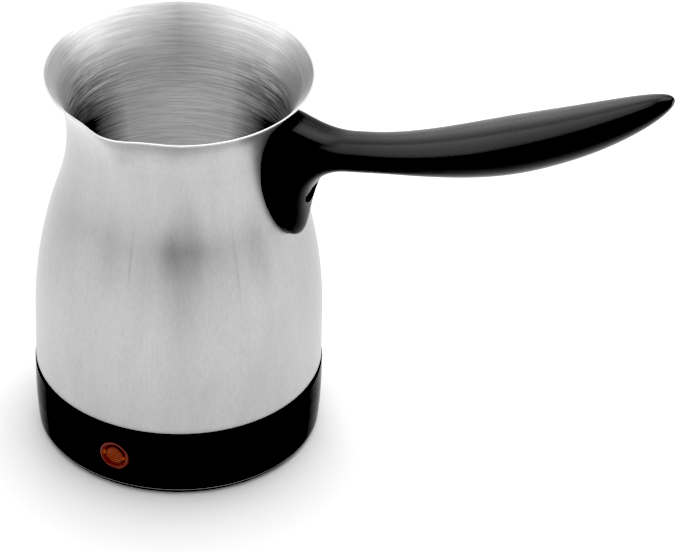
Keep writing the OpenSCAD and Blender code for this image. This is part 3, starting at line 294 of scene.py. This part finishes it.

# Painted reflections and painted shade on the steel, as soft darker places and two thin dark lines, each with
# its angle, half turn, height, reach and depth.
painted_reflections = ((30.5, 14, 100, 19, 0.13), (29.5, 12, 85, 28, 0.13), (36.5, 7, 103, 15, 0.10),
               (25, 7, 99, 14, 0.10), (31.6, 10, 114, 16, 0.09), (29.8, 8, 64, 30, 0.06),
               (-4.5, 9, 96, 24, 0.11), (66.5, 11, 94, 24, 0.16))
painted_reflection_lines = ((6.9, 0.9, 93, 19, 0.13), (55.1, 0.9, 88, 26, 0.13))
painted_shade_marks = ((0.7, 8, 131.5, 5, 0.10), (-42, 46, 92, 55, 0.16), (108, 48, 85, 60, 0.16))
dark = 0.0
for mark in (*painted_reflections, *painted_reflection_lines, *painted_shade_marks):
    dark = number(tree, "ADD", dark, painted_dark_mark(tree, *mark))
# Painted light: the wall's colour is lifted just under the lip against its shade, and the painted dark places
# are taken from it.
painted_light_under_lip = number(tree, "MULTIPLY", span(tree, rise, 0.985, 1.20, 0.124, 0.142),
                   span(tree, rise, 1.0, 1.2, 0.134, 0.143))
bright = number(tree, "SUBTRACT", painted_light_under_lip, dark)
grain = number(tree, "MULTIPLY", lumps(tree, fine, 0.465, 0.515), lumps(tree, broad, 0.95, 1.05))
link_to(shader, tree, Base_Color=number(tree, "MULTIPLY", grain, bright),
        Roughness=lumps(tree, broad, 0.32, 0.38), Normal=bump(tree, fine, 0.10, 0.00002))
pot.data.materials.append(steel_out)

# Painted reflections inside: the colour darkens at both ends of a line across the pot that is
#  turned 29 degrees from the handle's, wider and deeper down the wall than in the flare, with
#  lighter painted bands between. The ring lines are the spinning's own; that they show deeper
#  towards the sides is painted reflection too. Heights here are in metres.
steel_in, tree, shader = finish_named("spun steel inside", Metallic=0.85, Anisotropic=0.3,
                                      Anisotropic_Rotation=0.25)
path = put(tree, "Attribute", attribute_name="along").outputs["Fac"]
rings = noise(tree, round_the_axis(tree, 2.6, number(tree, "MULTIPLY", path, 2.0)), 1.0, 6.0, Roughness=0.75)
height = put(tree, "SeparateXYZ", {0: on_piece(tree)}).outputs[2]
shade_turn = np.radians(29)
line_x, line_y = np.cos(shade_turn), np.sin(shade_turn)
across = vector(tree, "DOT_PRODUCT", from_the_axis(tree), (line_x, line_y, 0))
behind = vector(tree, "DOT_PRODUCT", from_the_axis(tree), (-line_y, line_x, 0))
spread = number(tree, "MULTIPLY", span(tree, height, 1.32, 1.0, 0.085, 0.112),
                span(tree, behind, 0, 1, -0.2, 0.1))
side_low = span(tree, number(tree, "MULTIPLY", across, spread), 0, 1, -1, 1)
painted_low_reflection = in_steps(tree, side_low, (0.0, 0.05), (0.04, 0.05), (0.09, 0.10), (0.16, 0.36),
                    (0.25, 0.80), (0.5, 0.82), (0.75, 0.86), (0.83, 0.48), (0.90, 0.16),
                    (0.95, 0.06), (1.0, 0.05))
painted_low_reflection = span(tree, height, 1.0, painted_low_reflection, 0.062, 0.086)
side_to_side = span(tree, across, 0, 1, -1, 1)
painted_flare_reflection = in_steps(tree, side_to_side, (0.0, 0.47), (0.04, 0.55), (0.09, 0.80), (0.15, 0.92),
                      (0.25, 0.82), (0.40, 0.66), (0.5, 0.55), (0.60, 0.66), (0.75, 0.89),
                      (0.90, 0.89), (0.95, 0.62), (1.0, 0.37))
painted_wall_reflection = span(tree, height, painted_low_reflection, painted_flare_reflection, 0.108, 0.130)
beside = span(tree, number(tree, "ABSOLUTE", across), 0.19, 0.80, 0.45, 0.85)
depth_of_lines = span(tree, height, beside, 0.13, 0.122, 0.133)
depth_of_lines = span(tree, height, 0.2, depth_of_lines, 0.060, 0.085)
streaks = number(tree, "MULTIPLY_ADD", span(tree, rings, -1.0, 1.0, 0.40, 0.60), depth_of_lines, 1.0)
link_to(shader, tree, Base_Color=number(tree, "MULTIPLY", painted_wall_reflection, streaks, use_clamp=True),
        Roughness=lumps(tree, rings, 0.45, 0.62), Normal=bump(tree, rings, 0.45, 0.0002))
pot.data.materials.append(steel_in)
pot.data.polygons.foreach_set("material_index", inner_faces)

# ---- Pot fixings and bracket ----
# Three studs welded under the pot's floor, with washers and nuts below the base's lugs, and
# the bracket welded to the neck with its screw: low-carbon steel, zinc plated.


def metal_finish(name, tone, rough, grain=900.0):
    """Plated or rolled metal: a tone that varies by a tenth with fine grain, and its bump."""
    material, tree, shader = finish_named(name, Metallic=1.0)
    grains = noise(tree, on_piece(tree), grain, 3.0)
    link_to(shader, tree, Base_Color=tones(tree, grains, [0.9 * c for c in tone], tone),
            Roughness=lumps(tree, grains, rough - 0.05, rough + 0.08),
            Normal=bump(tree, grains, 0.15, 0.00005))
    return material


def dress(material, *names):
    """Gives CAD nodes their finish."""
    for name in names:
        nodes[name].data.materials.clear()
        nodes[name].data.materials.append(material)


dress(metal_finish("zinc plate", (0.62, 0.63, 0.64), 0.35), "vessel_studs", "stud_washers",
      "stud_nuts", "handle_washer", "handle_screw", "thermostat_screws", "fuse_screw",
      "cover_screws", "clamp_screws")
dress(metal_finish("pickled steel", (0.52, 0.52, 0.51), 0.45), "handle_bracket",
      "thermostat_bracket", "fuse_clip", "lamp_retainer")
dress(metal_finish("tinned brass", (0.72, 0.60, 0.34), 0.30), "earth_tag", "thermostat_tabs", "lamp_tabs")

# ---- Heater ----
# Sheathed tubular element pressed into a groove of an aluminium plate that is brazed to the
# pot's floor, with steel pins in ceramic end seals.
dress(metal_finish("rolled aluminium", (0.78, 0.79, 0.80), 0.38, 500.0), "heat_spreader", "thermostat_cap")
dress(metal_finish("heat-tinted sheath", (0.34, 0.32, 0.30), 0.50, 300.0), "heating_element")
dress(metal_finish("tinned steel", (0.70, 0.70, 0.69), 0.28),
      "element_pins", "lead_terminals", "thermal_fuse")


def moulded_finish(name, tone, rough, grain=1500.0, depth=0.00003, **values):
    """Moulded or fired material: an even tone with a faint cloud, and a fine surface grain."""
    material, tree, shader = finish_named(name, **values)
    cloud = noise(tree, on_piece(tree), 60.0, 2.0)
    link_to(shader, tree, Base_Color=tones(tree, cloud, [0.85 * c for c in tone], tone),
            Roughness=lumps(tree, cloud, rough - 0.03, rough + 0.03),
            Normal=bump(tree, noise(tree, on_piece(tree), grain, 2.0), 0.3, depth))
    return material


dress(moulded_finish("steatite", (0.84, 0.82, 0.76), 0.40), "element_seals", "push_pin")

# ---- Thermostat ----
# Snap-disc thermostat: phenolic body under an aluminium cap, a domed bimetal disc that
# pushes a ceramic pin down on a sprung contact arm, and blades out of both sides.
dress(moulded_finish("phenolic", (0.20, 0.10, 0.05), 0.45), "thermostat_body")
dress(metal_finish("bimetal", (0.70, 0.47, 0.33), 0.30), "bimetal_disc")
dress(metal_finish("spring brass", (0.78, 0.62, 0.32), 0.28), "contact_arm")
dress(metal_finish("contact silver", (0.86, 0.85, 0.82), 0.20), "fixed_contact")

# ---- Wiring ----
# Stranded copper in silicone sleeves, red to the heater and blue and white to the lamp, with
# a crimped terminal on each end that pushes on a blade.
dress(moulded_finish("red silicone", (0.55, 0.05, 0.04), 0.50), "fuse_lead", "heater_lead")
dress(moulded_finish("blue silicone", (0.05, 0.13, 0.42), 0.50), "lamp_lead_a")
dress(moulded_finish("white silicone", (0.78, 0.77, 0.74), 0.50), "lamp_lead_b")

# ---- Base ----
# Ring moulded in gloss black plastic, with lugs for the studs inside, closed underneath by a
# matt black cover on a rubber foot ring. A thin dark silicone seal lies under the pot's step.
# The ring's side is a little fuller than a cone, and a painted highlight runs round its foot as a thin grey
# line.
ring_foot_z, ring_top_z, ring_foot_r, ring_draft = 1.68, 26.8, 49.4, 1.6
pad_half_angle = 14
side_reach, under_top = 0.12, 0.03
foot_highlight_z, foot_highlight_core, foot_highlight_edge = 2.3, 0.15, 0.34


def ring_fullness(x, y, z):
    """How far the ring's side stands out of a plain cone: the draft times s less s cubed, with
    s from 1 at the foot to 0 at the top, easing to nothing round the cord's pad at the back."""
    s = np.clip((ring_top_z - z) / (ring_top_z - ring_foot_z), 0, 1)
    from_back = np.degrees(np.abs(np.arctan2(x, y)))
    return (ring_draft * s - s**3) * ease((from_back - pad_half_angle) / pad_half_angle)


ring_form = bmesh.new()
ring_form.from_mesh(nodes["base_housing"].data)
bmesh.ops.remove_doubles(ring_form, verts=ring_form.verts, dist=1e-6)
for level in (3.2, *range(5, 26, 2)):
    whole = [*ring_form.verts, *ring_form.edges, *ring_form.faces]
    bmesh.ops.bisect_plane(ring_form, geom=whole, plane_co=(0, 0, level * mm), plane_no=(0, 0, 1))
ring_mesh = bpy.data.meshes.new("base_ring")
ring_form.to_mesh(ring_mesh)
ring_form.free()
points = np.empty(len(ring_mesh.vertices) * 3)
ring_mesh.vertices.foreach_get("co", points)
points = points.reshape(-1, 3) / mm
r = np.hypot(points[:, 0], points[:, 1])
cone = ring_foot_r + ring_draft * (points[:, 2] - ring_foot_z) / (ring_top_z - ring_foot_z)
on_side = (np.abs(r - cone) < side_reach) & (points[:, 2] > ring_foot_z - 0.05)
fuller = np.minimum(r + ring_fullness(*points.T), np.maximum(r, ring_foot_r + ring_draft - under_top))
points[:, :2] *= np.where(on_side, fuller / np.maximum(r, 1), 1)[:, None]
ring_mesh.vertices.foreach_set("co", (points * mm).ravel())
ring_mesh.shade_smooth()
ring_mesh.set_sharp_from_angle(angle=np.radians(35))
base_ring = bpy.data.objects.new("base_ring", ring_mesh)
bpy.context.scene.collection.objects.link(base_ring)
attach(base_ring, "body")
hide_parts("base_housing")
black, highlight_grey = (0.002, 0.002, 0.002), (0.22, 0.22, 0.22)
gloss_black = moulded_finish("gloss black moulding", black, 0.16, 400.0, 0.00001, Specular_IOR_Level=0.012)
tree, shader = gloss_black.node_tree, gloss_black.node_tree.nodes["Principled BSDF"]
# Painted highlight: a thin grey line round the ring's foot, where a small edge would catch the light.
height = put(tree, "SeparateXYZ", {0: on_piece(tree)}).outputs[2]
off_highlight = number(tree, "ABSOLUTE", number(tree, "SUBTRACT", height, foot_highlight_z * mm))
on_highlight = span(tree, off_highlight, 1, 0, foot_highlight_core * mm, foot_highlight_edge * mm)
link_to(shader, tree, Base_Color=tones(tree, on_highlight, black, highlight_grey, 0, 1))
base_ring.data.materials.clear()
base_ring.data.materials.append(gloss_black)
dress(moulded_finish("matt black moulding", (0.018, 0.018, 0.018), 0.55, 900.0, 0.00006), "bottom_cover")
dress(moulded_finish("foot rubber", (0.022, 0.022, 0.022), 0.75), "foot_ring")
dress(moulded_finish("seal silicone", (0.030, 0.029, 0.028), 0.55), "vessel_gasket")

# ---- Indicator lamp ----
# Neon lamp behind an amber lens moulded with a rounded flange, a groove and fine rings, held
# by a spring ring from inside; natural nylon barrel, bulb and series resistor behind it.
lamp_z, lamp_turn = 13.9, np.radians(2.5)
lens_seat, lens_back, barrel_r, neck_of_lens_r = 49.494, 43.994, 4.9, 4.0
flange_r, flange_round, flange_rise = 5.9, 0.85, 0.7
groove_r, ring_pitch, ring_height, crown = 3.75, 0.85, 0.1, 0.45
lens_face = lens_seat - 0.08 + ring_fullness(0, -1, lamp_z)
over_flange = np.radians(np.arange(10, 181, 10))
window_r = np.linspace(groove_r + 0.3, 0.04, 60)
window_y = (lens_face + crown * ease((groove_r + 0.2 - window_r) / 0.5)
            + ring_height * np.cos(2 * np.pi * window_r / ring_pitch))
face_r = np.concatenate([[neck_of_lens_r, neck_of_lens_r, barrel_r, barrel_r, flange_r - 0.15, flange_r],
                         flange_r - flange_round * (1 - np.cos(over_flange)), window_r])
face_y = np.concatenate([[lens_seat - 0.4, lens_back, lens_back, lens_seat, lens_seat, lens_seat + 0.15],
                         lens_face + flange_rise * np.sin(over_flange), window_y])
lamp_side = np.array([np.cos(lamp_turn), np.sin(lamp_turn)])
lens = turned(face_r, face_y, 96)
lens = np.stack([lens[..., 0] * lamp_side[0] + lens[..., 2] * lamp_side[1],
                 lens[..., 0] * lamp_side[1] - lens[..., 2] * lamp_side[0], lamp_z + lens[..., 1]], -1)
amber_lens = skin("amber_lens", lens, lens[0].mean(0), lens[-1].mean(0), sharp=50)
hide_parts("lamp_lens")
amber, tree, shader = finish_named("amber lens", Roughness=0.28, Subsurface_Weight=0.1,
                                   Subsurface_Scale=0.001)
from_middle = vector(tree, "SUBTRACT", on_piece(tree), (0, 0, lamp_z * mm))
sideways = vector(tree, "DOT_PRODUCT", from_middle, (*lamp_side, 0))
upward = put(tree, "SeparateXYZ", {0: from_middle}).outputs[2]
radius = soft_spot(tree, sideways, upward)
# The lens's amber colours by radius; the dark step near 0.57 of the radius is painted shade in the groove.
by_radius = in_steps(tree, span(tree, radius, 0, 1, 0, 0.006), (0.0, (0.30, 0.048, 0.012)),
                     (0.48, (0.30, 0.046, 0.012)), (0.57, (0.07, 0.008, 0.003)),
                     (0.66, (0.20, 0.032, 0.012)), (0.84, (0.19, 0.030, 0.020)), (1.0, (0.10, 0.014, 0.008)))
# Painted shade of the fine rings: the colour is lightened and darkened with the cosine of the radius, in step
# with the ridges.
painted_ridge_shade = number(tree, "COSINE", number(tree, "MULTIPLY", radius, 2 * np.pi / (ring_pitch * mm)))
shade = vector(tree, "SCALE", by_radius, Scale=span(tree, painted_ridge_shade, 0.25, 1.15, -1, 1))
# Two painted glints: small bright amber spots added to the lens colour in its groove, standing in for
# highlights.
painted_glint_half_w, painted_glint_half_h, painted_glint_tone = 0.7, 1.2, (0.55, 0.14, 0.04)
for beside_by, up_by in ((3.6, -0.4), (-4.0, 0.1)):
    u = span(tree, sideways, -1, 1, (beside_by - painted_glint_half_w) * mm, (beside_by + painted_glint_half_w) * mm)
    v = span(tree, upward, -1, 1, (up_by - painted_glint_half_h) * mm, (up_by + painted_glint_half_h) * mm)
    painted_glint = vector(tree, "SCALE", painted_glint_tone, Scale=span(tree, soft_spot(tree, u, v), 1, 0))
    shade = vector(tree, "ADD", shade, painted_glint)
link_to(shader, tree, Base_Color=shade)
amber_lens.data.materials.append(amber)
dress(moulded_finish("natural nylon", (0.82, 0.80, 0.72), 0.45), "lamp_body", "cord_clamp")
dress(moulded_finish("lacquered resistor", (0.62, 0.50, 0.32), 0.35), "lamp_resistor")
dress(moulded_finish("bulb glass", (0.95, 0.80, 0.70), 0.05, Transmission_Weight=0.8, IOR=1.5), "neon_bulb")

# ---- Cord entry ----
# Rubber grommet in a round pad at the back, with a flange outside and a lip behind the wall
# that it is pushed through. The nylon clamp inside takes the pull of the cord.
dress(moulded_finish("grommet rubber", (0.016, 0.016, 0.016), 0.65, 700.0, 0.00008), "cord_gland")

# ---- Handle ----
# One black moulding with a satin grain: a broad root that follows the pot's neck, drawn out
# into a grip that rises along an arc and swells to a palm. It has a fine parting line all
# round and a round access hole in its underside for the screw into the neck's bracket.
grip_x, grip_z, grip_slope, grip_arc = 66.0, 132.2, np.radians(14), 298.0
tip_x, waist_x, palm_x = 180.2, 72.0, 126.526
waist_w, waist_t, palm_w, palm_t = 16.0, 12.2, 23.2, 17.4
flat_above, flat_below, tip_taper, tip_close = 2.6, 2.2, 1.7, 0.48
root_half_w, root_mid_z, root_top_z, root_low_z, handle_gap = 10.4, 118.0, 139.0, 92.0, 0.15
square_above, point_below = 4, 1.8
leave_arm, leave_more, join_arm, join_more = 5, 7.0, 10, 16.0


def signed_power(c, e):
    """Power of the size with the sign kept, for a superellipse's corner."""
    return np.sign(c) * np.abs(c)**e


def root_outline(a, k):
    """Point on the pot's skin at angle a of the root's outline, shrunk by k to its middle: a
    superellipse, squared off above and pointed below, wrapped round the neck."""
    e = np.where(np.sin(a) > 0, 2 / square_above, 2 / point_below)
    across = k * root_half_w * signed_power(np.cos(a), e)
    half = np.where(np.sin(a) > 0, root_top_z - root_mid_z, root_mid_z - root_low_z)
    z = root_mid_z + k * half * signed_power(np.sin(a), e)
    r = pot_radius(z) + handle_gap
    return np.stack([r * np.cos(across / r), r * np.sin(across / r), z], -1)


def grip_section(a, slope):
    """Superelliptic section, flatter above than below, across the centre line, an arc on
    which the slope is the parameter. Its half sizes ease from waist to palm and close at
    the tip as (1 - u to the taper) to the power tip_close."""
    x = grip_x + grip_arc * (np.sin(slope) - np.sin(grip_slope))
    z = grip_z + grip_arc * (np.cos(grip_slope) - np.cos(slope))
    swell = ease((x - waist_x) / (palm_x - waist_x))
    u = np.clip(x - palm_x, 0, None) / (tip_x - palm_x)
    close = np.clip(1 - u**tip_taper, 0, None)**tip_close
    e = np.where(np.sin(a) > 0, 2 / flat_above, 2 / flat_below)
    across = (waist_w + (palm_w - waist_w) * swell) / 2 * close * signed_power(np.cos(a), e)
    out = (waist_t + (palm_t - waist_t) * swell) / 2 * close * signed_power(np.sin(a), e)
    return np.stack([np.minimum(x - out * np.sin(slope), tip_x), across, z + out * np.cos(slope)], -1)


def root_bend(a, t):
    """Cubic from the outline (t = 0) to the grip's first section (t = 1): it leaves the pot
    along X and joins the grip along its slope, with longer arms on the underside."""
    above, under = np.clip(np.sin(a), 0, None), np.clip(-np.sin(a), 0, None)**1.5
    leave_by = (leave_arm - above + leave_more * under)[..., None]
    join_by = (join_arm + join_more * under)[..., None]
    p0, p3 = root_outline(a, 1), grip_section(a, grip_slope)
    p1 = p0 + leave_by * np.array((1, 0, 0))
    p2 = p3 - join_by * np.array((np.cos(grip_slope), 0, np.sin(grip_slope)))
    return (1 - t)**3 * p0 + 3 * t * (1 - t)**2 * p1 + 3 * t * t * (1 - t) * p2 + t**3 * p3


def drill(piece, cutter):
    """Cuts a closed form out of a piece and keeps the result as the piece's own mesh."""
    cut = piece.modifiers.new("cut", "BOOLEAN")
    cut.object, cut.operation, cut.solver = cutter, "DIFFERENCE", "EXACT"
    bpy.context.view_layer.update()
    made = bpy.data.meshes.new_from_object(piece.evaluated_get(bpy.context.evaluated_depsgraph_get()))
    piece.modifiers.clear()
    piece.data = made
    bpy.data.objects.remove(cutter)


sides = np.radians(np.arange(1.25, 360, 2.5))
tip_slope = np.arcsin(np.sin(grip_slope) + (tip_x - grip_x) / grip_arc)
grip_rows, root_rows = 110, 60
steps = 1 - (1 - np.arange(grip_rows) / grip_rows)**tip_taper
seat = [root_outline(sides, k) for k in (0.15, 0.3, 0.45, 0.6, 0.75, 0.88, 0.96, 0.99)]
root = [root_bend(sides, t) for t in np.linspace(0, 1, root_rows, endpoint=False)]
grip = [grip_section(sides, grip_slope + (tip_slope - grip_slope) * s) for s in steps]
tip = [tip_x, 0, grip_z + grip_arc * (np.cos(grip_slope) - np.cos(tip_slope))]
handle = skin("handle_grip", np.stack([*seat, *root, *grip]), root_outline(np.array(0.0), 0), tip)

# The access hole down to a floor over the bracket, and the screw's own bore through it.
access_r, access_floor, screw_r, screw_start, hole_end = 3.9, 2.6, 2.15, -3.0, 27.6
hole_tilt, hole_start = np.radians(15), np.array([45.0, 0, 113.0])
way = np.array([np.cos(hole_tilt), 0, -np.sin(hole_tilt)])
side, lift = np.array([0, 1, 0]), np.array([np.sin(hole_tilt), 0, np.cos(hole_tilt)])
for bore, start in ((access_r, access_floor), (screw_r, screw_start)):
    local = turned([bore, bore], [start, hole_end], 48)
    rod = hole_start + local[..., :1] * side + local[..., 1:2] * lift + local[..., 2:] * way
    drill(handle, skin("drill", rod, hole_start + start * way, hole_start + hole_end * way))
handle.data.set_sharp_from_angle(angle=np.radians(40))
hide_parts("handle")
satin, tree, shader = finish_named("satin black moulding", Specular_IOR_Level=0.27)
place = on_piece(tree)
cloud = noise(tree, place, 45.0, 3.0)
off_middle = number(tree, "ABSOLUTE", put(tree, "SeparateXYZ", {0: place}).outputs[1])
parting = span(tree, off_middle, 0, 1, 0.08 * mm, 0.22 * mm)
grained = bump(tree, noise(tree, place, 1400.0, 2.0), 0.25, 0.00004)
link_to(shader, tree, Base_Color=tones(tree, parting, (0.0005, 0.0005, 0.0005), black, 0, 1),
        Roughness=lumps(tree, cloud, 0.25, 0.33),
        Normal=bump(tree, parting, 0.8, 0.00015, Normal=grained))
handle.data.materials.clear()
handle.data.materials.append(satin)

# ---- Studio ----
# Plain pale floor, an even white surround that is dimmer behind the camera, one broad soft
# light above, two that reach only the handle from the side, and the camera.
floor_half = 4
corners = [(-floor_half, -floor_half, 0), (floor_half, -floor_half, 0),
           (floor_half, floor_half, 0), (-floor_half, floor_half, 0)]
floor = bpy.data.objects.new("floor", bpy.data.meshes.new("floor"))
floor.data.from_pydata(corners, [], [(0, 1, 2, 3)])
bpy.context.scene.collection.objects.link(floor)
pale, tree, shader = finish_named("pale floor", Roughness=0.9, Specular_IOR_Level=0.1)
paper = noise(tree, on_piece(tree), 3.0, 2.0)
link_to(shader, tree, Base_Color=tones(tree, paper, (0.945, 0.945, 0.945), (0.955, 0.955, 0.955)))
floor.data.materials.append(pale)

world = bpy.data.worlds.new("surround")
bpy.context.scene.world = world
world.use_nodes = True
tree, background = world.node_tree, world.node_tree.nodes["Background"]
dim_way = (np.sin(np.radians(33)), -np.cos(np.radians(33)), 0.25)
facing = vector(tree, "DOT_PRODUCT", put(tree, "TexCoord").outputs["Generated"], dim_way)
tree.links.new(tones(tree, facing, (1, 1, 1), (0.30, 0.30, 0.30), 0.92, 0.99), background.inputs["Color"])
background.inputs["Strength"].default_value = 0.92


def soft_light(name, place, aim, width, height, watts):
    """Broad soft light at a place, turned to face its aim."""
    lamp = bpy.data.lights.new(name, "AREA")
    lamp.shape, lamp.size, lamp.size_y, lamp.energy = "RECTANGLE", width, height, watts
    light = bpy.data.objects.new(name, lamp)
    bpy.context.scene.collection.objects.link(light)
    z = np.subtract(place, aim) / np.linalg.norm(np.subtract(place, aim))
    x = np.cross([0, 0.01, 1], z) / np.linalg.norm(np.cross([0, 0.01, 1], z))
    y = np.cross(z, x)
    light.matrix_world = [[*x, 0], [*y, 0], [*z, 0], [*place, 1]]
    return light


soft_light("light_above", (-0.05, 0.45, 1.4), (0, 0, 0.1), 1.4, 1.4, 15)
lit = bpy.data.collections.new("lit_from_beside")
lit.objects.link(handle)
for name, place, width, watts in (("light_beside", (-0.9, 0.8, 0.55), 1.0, 2.2),
                                  ("light_front_beside", (-0.9, -0.33, 0.58), 1.5, 14.5)):
    soft_light(name, place, (0.1, 0, 0.13), width, 1.4, watts).light_linking.receiver_collection = lit

camera = bpy.data.objects.new("camera", bpy.data.cameras.new("camera"))
bpy.context.scene.collection.objects.link(camera)
camera_turn, camera_pitch = np.radians(29), np.radians(35.16)
camera_away, camera_height = 1.223, 0.920
frame_px, pot_axis_px, focal_px = 679, 179.03, 4249
aside = (frame_px / 2 - pot_axis_px) / focal_px
eye = np.array([camera_away * np.sin(camera_turn), -camera_away * np.cos(camera_turn), camera_height])
ahead = np.array([-np.sin(camera_turn) * np.cos(camera_pitch),
                  np.cos(camera_turn) * np.cos(camera_pitch), -np.sin(camera_pitch)])
right = np.array([np.cos(camera_turn), np.sin(camera_turn), 0])
up = np.cross(right, ahead)
look, right = ahead + aside * right, right - aside * ahead
look, right = look / np.linalg.norm(look), right / np.linalg.norm(right)
camera.matrix_world = [[*right, 0], [*up, 0], [*-look, 0], [*eye, 1]]
camera.data.sensor_width = 36
camera.data.lens = focal_px * camera.data.sensor_width / frame_px
camera.data.clip_start = 0.05
bpy.context.scene.camera = camera
view = bpy.context.scene.view_settings
view.view_transform, view.use_curve_mapping = "Standard", True
view.curve_mapping.black_level = (0.04, 0.04, 0.04)
